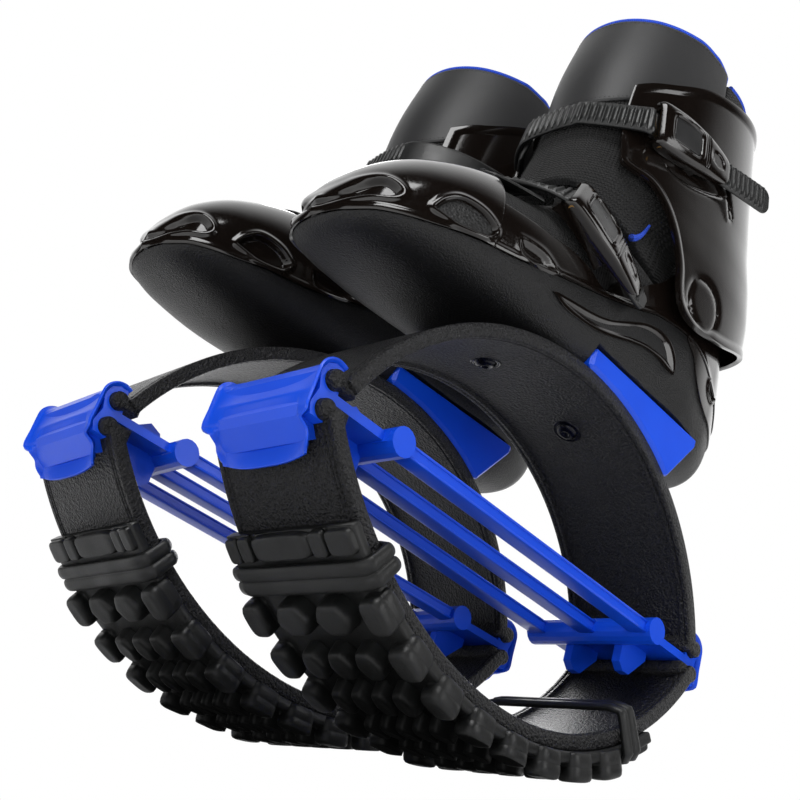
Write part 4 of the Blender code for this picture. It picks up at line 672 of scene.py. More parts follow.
CUFF_BASE, CUFF_HEIGHT, CUFF_FRONT, CUFF_DEPTH, CUFF_HALF_WIDTH = 0.160, 0.200, -0.044, 0.188, 0.053
CUFF_WALL, ANKLE_INSET, ANKLE_BACK_INSET = 0.003, 0.010, 0.019
EDGE_ROLL, EDGE_ROLL_WIDTH, SCOOP_DEPTH, SLOT_DEPTH = 0.0011, 0.0055, 0.0024, 0.0020
RIVET_REACH, RIVET_HEIGHT, RING_RADIUS, RING_DEPTH, RING_WIDTH = 0.064, 0.178, 0.0150, 0.0012, 0.0018

# Rows of the cuff: shares of height, of depth at front and back, half width and ankle's inset, then power
CUFF_ROWS = np.array([
    (-0.2, 0.000, 1.000, 1.000, 1.0, 2.7), (0.00, 0.000, 1.000, 1.000, 1.0, 2.7),
    (0.20, 0.031, 1.000, 1.000, 0.9, 2.7), (0.31, 0.052, 0.990, 0.990, 0.0, 2.6),
    (0.45, 0.073, 0.969, 0.972, 0.0, 2.3), (0.70, 0.097, 0.927, 0.953, 0.0, 2.15),
    (0.95, 0.136, 0.885, 0.943, 0.0, 2.1), (1.05, 0.151, 0.873, 0.943, 0.0, 2.1)])
# Side lines of the cuff, (y, z): top edge and front edge from the front upwards, and foot from the front back
CUFF_TOP_LINE = [(-0.0109, 0.285), (-0.002, 0.292), (0.010, 0.299), (0.033, 0.3135), (0.057, 0.3235),
                 (0.078, 0.3305), (0.105, 0.3380), (0.130, 0.3415), (0.150, 0.342)]
CUFF_FRONT_LINE = [(-0.0145, 0.226), (-0.0142, 0.236), (-0.0138, 0.248), (-0.0130, 0.262), (-0.0118, 0.276),
                   (-0.0109, 0.285)]
CUFF_FOOT_LINE = [(-0.0145, 0.226), (-0.0125, 0.2225), (-0.0075, 0.2210), (0.0035, 0.2200), (0.0125, 0.2150),
                  (0.0210, 0.2070), (0.0290, 0.1960), (0.0345, 0.1855), (0.0375, 0.1735), (0.0425, 0.1645),
                  (0.0520, 0.1600), (0.0650, 0.1607), (0.0780, 0.1640), (0.0930, 0.1690), (0.1100, 0.1770),
                  (0.1346, 0.1900), (0.150, 0.196)]
SCOOP = [(0.012, 0.2385), (0.021, 0.2490), (0.032, 0.2570), (0.046, 0.2620), (0.059, 0.2635),
         (0.0665, 0.2570), (0.057, 0.2495), (0.045, 0.2435), (0.032, 0.2385), (0.020, 0.2370),
         (0.012, 0.2385)]
SLOT = [(0.0625, 0.2690), (0.0693, 0.2594), (0.0753, 0.2490)]


def shaft_rows(z):
    """Front, back, half width, ankle share and power of the shaft's section at a height."""
    share = (np.asarray(z, float) - CUFF_BASE) / CUFF_HEIGHT
    near, far, wide, ankle, power = (flow(share, CUFF_ROWS, column) for column in range(1, 6))
    return CUFF_FRONT + CUFF_DEPTH * near, CUFF_FRONT + CUFF_DEPTH * far, CUFF_HALF_WIDTH * wide, ankle, power


def shaft(turn, z, inset=0.0):
    """The shaft: a superellipse at each level, drawn in all round by an inset and further in at the ankle."""
    turn, z = np.broadcast_arrays(np.asarray(turn, float), np.asarray(z, float))
    front, back, half, ankle, power = shaft_rows(z)
    drawn = (inset > 0) * ankle
    front, back = front + inset, back - inset - drawn * ANKLE_BACK_INSET
    half = half - inset - drawn * ANKLE_INSET
    across, along = np.cos(turn), np.sin(turn)
    x = half * np.sign(across) * np.abs(across) ** (2 / power)
    y = (front + back) / 2 + (back - front) / 2 * np.sign(along) * np.abs(along) ** (2 / power)
    return coordinates(x, y, z)


def shaft_turn(y, z, inset=0.0):
    """The turn about the shaft, on its outer side, at which it passes through a side-view point."""
    front, back, _, ankle, power = shaft_rows(z)
    front, back = front + inset, back - inset - (inset > 0) * ankle * ANKLE_BACK_INSET
    along = np.clip((y - (front + back) / 2) / ((back - front) / 2), -1, 1)
    return np.arcsin(np.sign(along) * np.abs(along) ** (power / 2))


def coons(foot, top, front, rear):
    """A patch between four edges: the two blends of opposite edges, added, less the blend of the corners."""
    a = np.linspace(0, 1, len(foot))[None, :, None]
    b = np.linspace(0, 1, len(front))[:, None, None]
    corners = ((1 - a) * (1 - b) * foot[0] + a * (1 - b) * foot[-1] + (1 - a) * b * top[0] + a * b * top[-1])
    return (1 - b) * foot[None] + b * top[None] + (1 - a) * front[:, None] + a * rear[:, None] - corners


def side_patch(foot, top, front, columns, rows):
    """Turns and heights over the shaft's outer half, between side-view edges and the middle of its back."""
    edges = []
    for line, count in ((foot, columns), (top, columns), (front, rows)):
        line = smooth_line(line, count)
        edges.append(coordinates(shaft_turn(line[:, 0], line[:, 1]), line[:, 1]))
    for line in edges[:2]:
        line[-1, 0] = math.pi / 2
    rear = coordinates(math.pi / 2, np.linspace(edges[0][-1, 1], edges[1][-1, 1], rows))
    return coons(*edges, rear)


def cuff_grid():
    """The cuff's outer face: its edge rolled, scoop and slot sunk by smooth steps, a ring at the rivet."""
    half = side_patch(CUFF_FOOT_LINE, CUFF_TOP_LINE, CUFF_FRONT_LINE, 110, 84)
    turns = np.hstack([half[..., 0], math.pi - half[:, -2::-1, 0]])
    heights = np.hstack([half[..., 1], half[:, -2::-1, 1]])
    flat = shaft(turns, heights)
    y, z = flat[..., 1], flat[..., 2]
    edges = (smooth_line(CUFF_FOOT_LINE, 60), smooth_line(CUFF_TOP_LINE, 40), CUFF_FRONT_LINE)
    rim = np.minimum.reduce([distance_to(edge, y, z) for edge in edges])
    lift = EDGE_ROLL * smooth_step(1.6 - 1.6 * rim / EDGE_ROLL_WIDTH)
    outer = turns < math.pi / 2
    lift = lift - SCOOP_DEPTH * smooth_step(depth_in(smooth_line(SCOOP, 60), y, z) / 0.0040 + 0.25) * outer
    lift = lift - SLOT_DEPTH * smooth_step(1.5 - distance_to(SLOT, y, z) / 0.0016) * outer
    lift = lift - RING_DEPTH * bell(np.hypot(y - RIVET_REACH, z - RIVET_HEIGHT), RING_RADIUS, RING_WIDTH)
    return raised(shaft, turns, heights, lift)


pair("glossy_cuff", grid(cuff_grid()), GLOSS_BLACK, "{}_cuff", ["cuff"], wall=CUFF_WALL,
     rounding=RIM_ROUNDING,
     segments=3)

# Cuff rivets
# A domed rivet at each side joins the cuff to the boot. Its head is moulded in satin black plastic.

DOME_RADIUS, DOME_RISE, DOME_SKIRT, DOME_SUNK = 0.0115, 0.0028, 0.0004, 0.0006


def dome(radius, rise, skirt, rings=10, sides=40):
    """A domed disc about +Z: rings whose height follows a quarter ellipse, then a skirt straight down."""
    angle = np.linspace(0, math.pi / 2, rings)[1:]
    size = np.concatenate([radius * np.sin(angle), [radius]])[:, None]
    height = np.concatenate([rise * np.cos(angle) ** 0.9, [-skirt]])[:, None]
    around = np.linspace(0, 2 * math.pi, sides, endpoint=False)
    vertices, faces = grid(coordinates(size * np.cos(around), size * np.sin(around), height), wrap=True)
    crown = len(vertices)
    tops = [[crown, (k + 1) % sides, k] for k in range(sides)]
    return np.vstack([vertices, (0, 0, rise)]), turned_over(faces + tops)


def moved(shape, matrix):
    """A shape carried by a matrix."""
    turn = np.array(matrix)
    return shape[0] @ turn[:3, :3].T + turn[:3, 3], shape[1]


def facing(place, out):
    """A matrix with its Z along a direction, from a place."""
    return Matrix.Translation(Vector(place)) @ Vector(out).to_track_quat("Z", "Y").to_matrix().to_4x4()


SATIN_BLACK = paint_grained("satin_black", 0.41667, 0.3, 0.0002, 0.34, 1.6)
for way, name in ((1, "outer"), (-1, "inner")):
    half_width = float(shaft(0.0, RIVET_HEIGHT)[0])
    seat = facing((way * (half_width - DOME_SUNK), RIVET_REACH, RIVET_HEIGHT), (way, 0, 0))
    pair(f"{name}_rivet_dome", moved(dome(DOME_RADIUS, DOME_RISE, DOME_SKIRT), seat), SATIN_BLACK, "{}_boot",
         [f"cuff_rivet_{name}"])

# Liner tongue
# Black knit over foam, padded, with soft rolled edges. Its front has a panel of synthetic leather with a
# stitched border, and blue knitted piping follows its top and the upper part of its sides.

LINER_INSET, LINER_WALL, LINER_ROUNDING, LINER_SUNK = 0.0034, 0.0058, 0.0024, 0.0006
TONGUE_EDGE, TONGUE_EDGE_HEIGHT, TONGUE_PUFF = 0.057, 0.32, 0.0012
PANEL_PUFF, PANEL_PROUD, PANEL_WALL, PANEL_ROUNDING, PANEL_BELOW_TOP = 0.0014, 0.0010, 0.0016, 0.0006, 0.0012
PIPING_RADIUS, PIPING_SIDES, PIPING_FOOT, PIPING_SUNK = 0.0016, 12, 0.300, 0.0008
STITCH_HEIGHT, SEAM_BELOW_TOP, SEAM_ABOVE_BORDER = 0.00025, 0.0040, 0.003
CLOTH_ROUND = 0.05
TONGUE_TOP = np.array([(-0.063, 0.3455), (-0.0203, 0.347), (-0.0008, 0.350), (0.0288, 0.353), (0.048, 0.350),
                       (0.0613, 0.344)])
SHAFT_FOOT = np.array([(-0.0812, 0.2227), (-0.0458, 0.215), (0.0634, 0.1716), (0.1607, 0.1625)])


def paint_knit(name, hex_value, stitch, depth):
    """Knitted polyester: matt cloth whose rows of stitches show as crossed waves of yarn, with painted shade
    darkening the colour between them and a painted highlight lightening their crowns.

    The height is the sine of the way across plus a sine of the way up that leans with it. A stitch's size is
    in millimetres, about twice a real one, which would not show.
    """
    paint, tree, shader, _ = new_material(name, hex_value, 0.85, Sheen_Weight=0.02, Sheen_Roughness=0.4)
    place = add(tree, "UVMap", uv_map="cloth")
    scaled = add(tree, "VectorMath", [(place, 0)], operation="SCALE", Scale=2 * math.pi * per_metre(stitch))
    split = add(tree, "SeparateXYZ", [(scaled, 0)])
    wale = add(tree, "Math", [(split.outputs["X"], 0)], operation="SINE")
    lean = add(tree, "Math", [(wale, 0), (1.2, 1)], operation="MULTIPLY")
    row = add(tree, "Math", [(split.outputs["Y"], 0), (lean, 1)], operation="ADD")
    course = add(tree, "Math", [(row, 0)], operation="SINE")
    height = add(tree, "Math", [(course, 0), (wale, 1)], operation="ADD")
    add(tree, "Bump", [(height, "Height")], (shader, "Normal"), Strength=0.8, Distance=depth)
    # The base colour follows the stitches' height: painted shade between the stitches and a painted highlight
    # on their crowns.
    shade = add(tree, "MapRange", [(height, "Value")], From_Min=-2.0, From_Max=2.0, To_Min=0.45, To_Max=1.25)
    add(tree, "VectorMath", [(linear(hex_value)[:3], 0), (shade, "Scale")], (shader, "Base Color"),
        operation="SCALE")
    return paint


def paint_leather():
    """Synthetic leather, embossed: satin near black, with creases 1.2 mm apart over a mottle of 8 mm.

    The creases are drawn about twice as far apart as real ones, so that they show.
    """
    paint, tree, shader, place = new_material("tongue_leather", 0x202021, 0.5)
    crease = add(tree, "TexVoronoi", [(place, "Vector")], Scale=per_metre(1.17647),
                 feature="DISTANCE_TO_EDGE")
    cloud = add(tree, "TexNoise", [(place, "Vector")], Scale=per_metre(8.3333), Detail=4.0)
    height = add(tree, "Math", [(crease, 0), (cloud, 1)], operation="ADD")
    add(tree, "Bump", [(height, "Height")], (shader, "Normal"), Strength=0.35, Distance=0.0003)
    return paint


def paint_yarn():
    """Sewing yarn of two twisted plies: matt, with slanting strands 0.6 mm wide, coarser than real ones.

    Blender's wave repeats its bands after pi / 10 over its scale.
    """
    paint, tree, shader, place = new_material("stitch_yarn", 0x2C2C2E, 0.7)
    bands = per_metre(0.60415) * math.pi / 10
    plies = add(tree, "TexWave", [(place, "Vector")], Scale=bands, bands_direction="DIAGONAL")
    add(tree, "Bump", [(plies.outputs["Fac"], "Height")], (shader, "Normal"), Strength=0.5, Distance=0.0002)
    return paint


LINER_KNIT, LEATHER = paint_knit("liner_knit", 0x0B0B0C, 2.0106, 0.0004), paint_leather()
BLUE_KNIT, STITCH_YARN = paint_knit("blue_knit", 0x1E4FD8, 1.2566, 0.0002), paint_yarn()


def inner_shaft(turn, z):
    """The shaft's surface just inside the cuff."""
    return shaft(turn, z, LINER_INSET)


def upright(turns, low, high, rows):
    """Turns and heights from a lower side-view line to an upper one.

    The lines give a height at a y, and y changes with the height, so both are looked up in six rounds.
    """
    share = np.linspace(0, 1, rows)[:, None]
    z = np.full((rows, len(turns)), 0.28)
    turns = np.broadcast_to(turns, z.shape)
    for _ in range(6):
        y = inner_shaft(turns, z)[..., 1]
        z = level(low, y) + (level(high, y) - level(low, y)) * share
    return turns, z


def padded_pair(name, turns, z, outset, nodes):
    """A padded piece of black knit on the shaft. Its cloth runs round the shaft and up it, in metres."""
    shape = grid(raised(inner_shaft, turns, z, outset).swapaxes(0, 1))
    cloth = coordinates(turns * CLOTH_ROUND, z).swapaxes(0, 1).reshape(-1, 2)
    for piece in pair(name, shape, LINER_KNIT, "{}_cuff", nodes, wall=LINER_WALL, rounding=LINER_ROUNDING,
                      segments=3, uv=cloth):
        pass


EDGE_TURN = float(shaft_turn(TONGUE_EDGE, TONGUE_EDGE_HEIGHT, LINER_INSET))
tongue_turns = np.linspace(-math.pi - EDGE_TURN + 0.02, EDGE_TURN - 0.02, 90)
turns, z = upright(tongue_turns, SHAFT_FOOT, TONGUE_TOP, 74)
puff = TONGUE_PUFF * np.sin(np.clip((z - 0.30) / 0.05, 0, 1) * math.pi)
padded_pair("tongue_pad", turns, z, puff - LINER_SUNK, ["tongue"])


def panel_border(turns):
    """Height of the leather panel's lower border: it rises by the square of the turn from the front."""
    return 0.2705 + 0.015 * np.clip(np.abs(turns + math.pi / 2) / 0.9, 0, 1) ** 2


panel_turns = np.linspace(-math.pi - EDGE_TURN + 0.05, EDGE_TURN - 0.05, 110)
panel_top = upright(panel_turns, SHAFT_FOOT, TONGUE_TOP, 2)[1][-1]
border = panel_border(panel_turns)
share = np.linspace(0, 1, 60)[:, None]
panel_z = border + (panel_top - PANEL_BELOW_TOP - border) * share
rim = smooth_step(np.minimum(share, 1 - share) * 0.08 / 0.002 + 0.2)
puff = PANEL_PUFF * np.sin(share * math.pi) + PANEL_PROUD * rim
panel = raised(inner_shaft, np.broadcast_to(panel_turns, panel_z.shape), panel_z, puff)
pair("tongue_panel", grid(panel.swapaxes(0, 1)), LEATHER, "{}_cuff", wall=PANEL_WALL, rounding=PANEL_ROUNDING)


def sweep(path, outs, section):
    """A section of (across, out) points carried along a path, upright on the directions out, ends capped."""
    along = np.gradient(path, axis=0)
    along /= np.linalg.norm(along, axis=1, keepdims=True)
    outs = outs - along * np.sum(outs * along, axis=1, keepdims=True)
    outs /= np.linalg.norm(outs, axis=1, keepdims=True)
    across = np.cross(outs, along)
    section = np.asarray(section, float)
    if section.ndim == 2:
        section = np.broadcast_to(section, (len(path), *section.shape))
    points = path[:, None] + across[:, None] * section[..., :1] + outs[:, None] * section[..., 1:]
    return grid(points[:, ::-1], wrap=True, ends=True)


def sweep_map(path, sides, girth):
    """Cloth coordinates of a swept tube: the way round it, and the way along it, with its two end points."""
    run = run_along(path)
    flat = coordinates(np.linspace(0, girth, sides)[None, :], run[:, None]).reshape(-1, 2)
    return np.vstack([flat, (0, run[0]), (0, run[-1])])


def piping(name, turns, z, radius, outset, taper=1.0):
    """A round edge of blue knit along the shaft's liner."""
    path, outs = raised(inner_shaft, turns, z, np.full(turns.shape, outset)), out_of(inner_shaft, turns, z)
    around = np.linspace(0, 2 * math.pi, PIPING_SIDES, endpoint=False)
    section = radius * coordinates(np.cos(around), np.sin(around)) * taper
    pair(name, sweep(path, outs, section), BLUE_KNIT, "{}_cuff",
         uv=sweep_map(path, PIPING_SIDES, 2 * math.pi * radius))


sides = np.linspace(0, 1, 14)
left_top, right_top = panel_top[0] - 0.002, panel_top[-1] - 0.002
rise = [(panel_turns[0] - 0.03 * (1 - s), PIPING_FOOT + (left_top - PIPING_FOOT) * s) for s in sides]
fall = [(panel_turns[-1] + 0.03 * s, right_top - (right_top - PIPING_FOOT) * s) for s in sides]
middle = list(zip(panel_turns[3:-3:3], panel_top[3:-3:3]))
tongue_line = smooth_line(rise + middle + fall, 220)
piping("tongue_piping", tongue_line[:, 0], tongue_line[:, 1], PIPING_RADIUS, -PIPING_SUNK)


def stitch_line(turns, z, outset, pitch=0.0026, length=0.0018, width=0.0006):
    """Small raised stitches along the liner, of six points each: two along, two across, one out, one in."""
    path, outs = raised(inner_shaft, turns, z, np.full(turns.shape, outset)), out_of(inner_shaft, turns, z)
    run = run_along(path)
    at = np.arange(pitch / 2, run[-1], pitch)
    middle, out, along = (coordinates(*(np.interp(at, run, field[:, k]) for k in range(3)))
                          for field in (path, outs, np.gradient(path, run, axis=0)))
    across = np.cross(out, along)
    ahead, aside, above = along * length / 2, across * width / 2, out * STITCH_HEIGHT
    points = middle[:, None] + np.stack([ahead, aside, -ahead, -aside, above, -above], axis=1)
    corners = np.array([(0, 1, 4), (1, 2, 4), (2, 3, 4), (3, 0, 4), (1, 0, 5), (2, 1, 5), (3, 2, 5),
                        (0, 3, 5)])
    faces = (corners[None] + 6 * np.arange(len(at))[:, None, None]).reshape(-1, 3)
    return points.reshape(-1, 3), faces[:, ::-1].tolist()


seam_turns = panel_turns[4:-4]
seams = [stitch_line(seam_turns, panel_top[4:-4] - SEAM_BELOW_TOP, 0.0012),
         stitch_line(seam_turns, panel_border(seam_turns) + SEAM_ABOVE_BORDER, 0.0012)]
for middle_turn in (-1.13, -1.19, -math.pi + 1.13, -math.pi + 1.19):
    seams.append(stitch_line(np.full(40, middle_turn), np.linspace(0.226, 0.268, 40), -0.0002,
                             pitch=0.0020, length=0.0011, width=0.0009))
pair("tongue_stitching", together(*seams), STITCH_YARN, "{}_cuff")

# Liner collar
# The same padded knit round the back of the shin, with blue knitted piping along its top and at the ankle,
# and a pull tab: a folded loop of blue webbing sewn to its back.

COLLAR_TOP = np.array([(0.0555, 0.3435), (0.0829, 0.349), (0.1177, 0.355), (0.163, 0.356)])
ANKLE_ARC = [(0.0104, 0.1912), (0.0136, 0.1932), (0.0168, 0.1970), (0.0190, 0.2015), (0.0200, 0.2062)]
ANKLE_PIPING_END = 0.35
TAB_HALF_WIDTH, TAB_HALF_THICKNESS, TAB_TOP, TAB_FOLD, TAB_ROUNDING = 0.0085, 0.0006, 0.3540, 0.0022, 0.0003

collar_turns = np.linspace(EDGE_TURN + 0.01, math.pi - EDGE_TURN - 0.01, 90)
turns, z = upright(collar_turns, SHAFT_FOOT, COLLAR_TOP, 66)
padded_pair("collar_pad", turns, z, np.full(z.shape, -LINER_SUNK), ["liner_collar"])
piping("collar_piping", turns[-1, 2:-2], z[-1, 2:-2] + 0.0004, PIPING_RADIUS * 1.1, -0.0022)
arc_y, arc_z = smooth_line(ANKLE_ARC, 60).T
piping("ankle_piping", shaft_turn(arc_y, arc_z, LINER_INSET), arc_z, PIPING_RADIUS * 1.3, 0.0004,
       taper=np.linspace(1, ANKLE_PIPING_END, 60)[:, None, None])

fold = np.linspace(0.2, 2.9, 10)
tab_z = np.concatenate([np.linspace(0.3300, TAB_TOP, 12), TAB_TOP + TAB_FOLD * np.sin(fold),
                        np.linspace(TAB_TOP, 0.3420, 6)])
tab_out = np.concatenate([np.linspace(0.0002, 0.0010, 12), 0.0010 - TAB_FOLD * (1 - np.cos(fold)),
                          np.full(6, -0.0036)])
tab_path = raised(inner_shaft, np.full(tab_z.shape, math.pi / 2), tab_z, tab_out)
tab_outs = np.cross(np.broadcast_to((-1.0, 0, 0), tab_path.shape), np.gradient(tab_path, axis=0))
tab_section = [(x * TAB_HALF_WIDTH, y * TAB_HALF_THICKNESS) for x, y in ((-1, -1), (1, -1), (1, 1), (-1, 1))]
pair("pull_tab", sweep(tab_path, tab_outs, tab_section), BLUE_KNIT, "{}_cuff",
     uv=sweep_map(tab_path, 4, 0.036), rounding=TAB_ROUNDING)

# Liner foot
# The knit lining of the boot itself, a padded tube just inside the shell, open along the sole.

FOOT_INSET, FOOT_WALL, FOOT_ROUNDING = 0.0040, 0.004, 0.0012
ANKLE_SPLIT = np.array([(0.24, 0.80), (0.36, 0.755), (0.73, 0.541), (1.06, 0.448)])


def inner_hull(share, turn):
    """The hull's surface just inside the shell."""
    return raised(hull, share, turn, np.full(np.shape(share), -FOOT_INSET))


foot_shares = np.linspace(0.05, 0.985, 110)[:, None]
foot_start = hull_turn(foot_shares, 0.16 + 0.12 * smooth_step((foot_shares - 0.2) / 0.5))
foot_end = hull_turn(foot_shares, level(ANKLE_SPLIT, foot_shares))
foot_turns = foot_start + (foot_end - foot_start) * np.linspace(0, 1, 28)
foot_turns = np.hstack([foot_turns, math.pi - foot_turns[:, ::-1]])
foot_share = np.broadcast_to(foot_shares, foot_turns.shape)
for piece in pair("liner_foot_pad", grid(inner_hull(foot_share, foot_turns)), LINER_KNIT, "{}_boot",
                  ["liner_foot", "insole"], wall=FOOT_WALL, rounding=FOOT_ROUNDING,
                  uv=coordinates(foot_share * BOOT_LENGTH, foot_turns * CLOTH_ROUND).reshape(-1, 2)):
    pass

# Ladder straps and pad
# Moulded rubber straps with cross teeth, riveted on the inner side and run through hinged buckles. The pad
# under the cuff's strap is a rounded slab of the same rubber.

CUFF_HINGE, CUFF_LIE, CUFF_OUT = (0.0520, -0.0010, 0.2580), (0.158, 0.978, 0.133), (0.985, -0.158, 0.0)
INSTEP_HINGE, INSTEP_LIE, INSTEP_OUT = (0.0485, -0.0460, 0.1725), (0.16, 0.894, -0.418), (0.95, -0.02, 0.30)
STRAP_HALF_WIDTH, STRAP_HALF_THICKNESS, STRAP_LIFT, STRAP_END = 0.0090, 0.0012, -0.0031, 0.006
TOOTH_PITCH, TOOTH_RISE, CUFF_PLAIN, INSTEP_PLAIN, TAIL_PLAIN = 0.0042, 0.0013, 0.062, 0.020, 0.004
STRAP_LEVEL, OVER_PAD, OVER_PLATE, PAD_LIFT = 0.257, 0.0054, 0.0043, 0.0021
PAD_HALF_WIDTH, PAD_HALF_THICKNESS, PAD_GROOVE, PAD_STEPS = 0.013, 0.0018, 0.0007, 90
# The cuff strap's way round the shaft in degrees, its share of its height over the pad, and the pad's ends
CUFF_TURNS = (-160, -150, -141, -133, -126, -119, -111, -103, -95, -87, -79, -71)
CUFF_SLACK = (1, 1, 1, 1, 1, 1, 0.95, 0.6, 0.35, 0.3, 0.35, 0.5)
PAD_START, PAD_END = -172, -114
# The instep strap's way over the hull: share of its length, and degrees
INSTEP_PLACES = np.array([(0.290, 174), (0.295, 163), (0.300, 150), (0.306, 135), (0.310, 115), (0.308, 92),
                          (0.305, 74)])
# How far along the buckle each strap's tail is guided
CUFF_REACHES, INSTEP_REACHES = (-0.010, -0.005, 0, 0.034, 0.060, 0.096), (-0.003, 0.012, 0.034, 0.060, 0.066)


def framed(origin, along, out):
    """A matrix whose axes run along, across and out of a surface, from an origin on it."""
    along = Vector(along).normalized()
    out = Vector(out)
    out = (out - along * out.dot(along)).normalized()
    turn = Matrix((along, out.cross(along), out)).transposed().to_4x4()
    return Matrix.Translation(origin) @ turn


CUFF_BUCKLE = framed(CUFF_HINGE, CUFF_LIE, CUFF_OUT)
INSTEP_BUCKLE = framed(INSTEP_HINGE, INSTEP_LIE, INSTEP_OUT)


def strap_run(surface, first, second, lift, buckle, reaches, count):
    """A strap's middle line and its directions out: over a surface, then straight through its buckle.

    The directions are smoothed with the places, at a hundredth of their length, so that they weigh little.
    """
    outs = out_of(surface, first, second)
    points = surface(first, second) + outs * np.asarray(lift)[:, None]
    tail = np.array([buckle @ Vector((reach, 0, STRAP_LIFT)) for reach in reaches])
    lean = np.tile(np.array(buckle.to_3x3() @ Vector((0, 0, 1))), (len(reaches), 1))
    line = smooth_line(np.hstack([np.vstack([points, tail]), 0.01 * np.vstack([outs, lean])]), count)
    return line[:, :3], line[:, 3:]


def outward(shape):
    """A closed shape with its faces turned outwards: they are flipped where its signed volume is negative."""
    vertices, faces = shape
    fans = np.array([(face[0], face[k], face[k + 1]) for face in faces for k in range(1, len(face) - 1)])
    a, b, c = (vertices[fans[:, k]] for k in range(3))
    return (vertices, faces) if np.sum(a * np.cross(b, c)) > 0 else (vertices, turned_over(faces))


def ladder(path, outs, toothed_from):
    """A ladder strap: its section's top rises in a tooth, steep behind and sloped before, once in each pitch.

    The teeth stop short of both edges, and the strap's ends are drawn in to a half round.
    """
    run = run_along(path)
    to_end = np.clip((np.minimum(run, run[-1] - run) + 0.0002) / STRAP_END, 0, 1)
    drawn = np.sqrt(np.clip(1 - (1 - to_end) ** 2, 0.02, 1))[:, None] ** 0.6
    phase = (run / TOOTH_PITCH) % 1
    tooth = np.minimum(smooth_step(phase / 0.55), smooth_step((1 - phase) / 0.22))
    tooth = tooth * smooth_step((run - toothed_from) / 0.002)
    tooth = tooth * smooth_step((run[-1] - TAIL_PLAIN - run) / 0.002)
    half = [-1, -0.97, -0.90, -0.84, -0.78, -0.4, 0, 0.4, 0.78, 0.84, 0.90, 0.97]
    across = np.array(half + [1, 0.97, 0.9, 0, -0.9, -0.97])
    base = np.array([0, 0.6, 0.95, 1, 1, 1, 1, 1, 1, 1, 0.95, 0.6, 0, -0.6, -1, -1, -1, -0.6])
    toothed = np.array([0, 0, 0, 0.4, 1, 1, 1, 1, 1, 0.4, 0, 0, 0, 0, 0, 0, 0, 0])
    height = STRAP_HALF_THICKNESS * base + TOOTH_RISE * toothed * tooth[:, None]
    return outward(sweep(path, outs, coordinates(STRAP_HALF_WIDTH * across * drawn, height)))


def closed_ring(half, flip):
    """A closed outline from one half of it and that half's mirror image."""
    return np.vstack([half, (half * flip)[::-1][1:-1]])


def pad_shape():
    """The strap's pad: a rounded slab, two grooves in each face, carried round the shaft, ends drawn in."""
    turns, heights = np.radians(np.linspace(PAD_START, PAD_END, PAD_STEPS)), np.full(PAD_STEPS, STRAP_LEVEL)
    outs = out_of(shaft, turns, heights)
    x = np.linspace(-1, 1, 41)
    top = PAD_HALF_THICKNESS * (1 - np.abs(x) ** 10) - PAD_GROOVE * bell(np.abs(x), 0.8, 0.05)
    section = closed_ring(coordinates(PAD_HALF_WIDTH * x, top), (1, -1))
    steps = np.arange(PAD_STEPS)
    drawn = np.clip(np.minimum(steps, steps[::-1]) / 8, 0.05, 1) ** 0.4
    sections = section * coordinates(drawn, 1.0)[:, None]
    return outward(sweep(shaft(turns, heights) + outs * PAD_LIFT, outs, sections))


def paint_rubber(name, hex_value, roughness):
    """Moulded rubber: matt, with a moulded texture of 0.9 mm, and a mottle of dust 22 mm across in its shine.

    The texture is drawn coarser than a real one, so that it shows.
    """
    paint, tree, shader, place = new_material(name, hex_value, roughness)
    fine = add(tree, "TexNoise", [(place, "Vector")], Scale=per_metre(0.90909), Detail=5.0)
    add(tree, "Bump", [(fine, "Height")], (shader, "Normal"), Strength=0.4, Distance=0.0003)
    broad = add(tree, "TexNoise", [(place, "Vector")], Scale=per_metre(22.222), Detail=5.0)
    add(tree, "MapRange", [(broad, "Value")], (shader, "Roughness"), From_Min=0.35, From_Max=0.7,
        To_Min=roughness - 0.10, To_Max=roughness + 0.10)
    return paint


STRAP_RUBBER = paint_rubber("strap_rubber", 0x0B0C0C, 0.40)
cuff_path = strap_run(shaft, np.radians(CUFF_TURNS), np.full(12, STRAP_LEVEL),
                      OVER_PAD * np.array(CUFF_SLACK),
                      CUFF_BUCKLE, CUFF_REACHES, 640)
pair("cuff_ladder", ladder(*cuff_path, CUFF_PLAIN), STRAP_RUBBER, "{}_cuff", ["cuff_strap"])
instep_path = strap_run(hull, INSTEP_PLACES[:, 0], np.radians(INSTEP_PLACES[:, 1]), np.full(7, OVER_PLATE),
                        INSTEP_BUCKLE, INSTEP_REACHES, 560)
pair("instep_ladder", ladder(*instep_path, INSTEP_PLAIN), STRAP_RUBBER, "{}_boot", ["instep_strap"])
pair("strap_pad", pad_shape(), STRAP_RUBBER, "{}_cuff", ["cuff_strap_pad"])

# Instep plate
# A sheet of moulded rubber over the instep, under its strap, with a raised rim and fine ribs across its
# middle.

PLATE_MIDDLE, PLATE_REACH, PLATE_NARROWING, PLATE_CURVE, PLATE_FOOT = 0.258, 0.132, 0.30, 0.012, 0.50
PLATE_LIFT, PLATE_RIM, PLATE_RIB, PLATE_RIBS = 0.0011, 0.0010, 0.0005, 34
PLATE_WALL, PLATE_ROUNDING = 0.0016, 0.0004


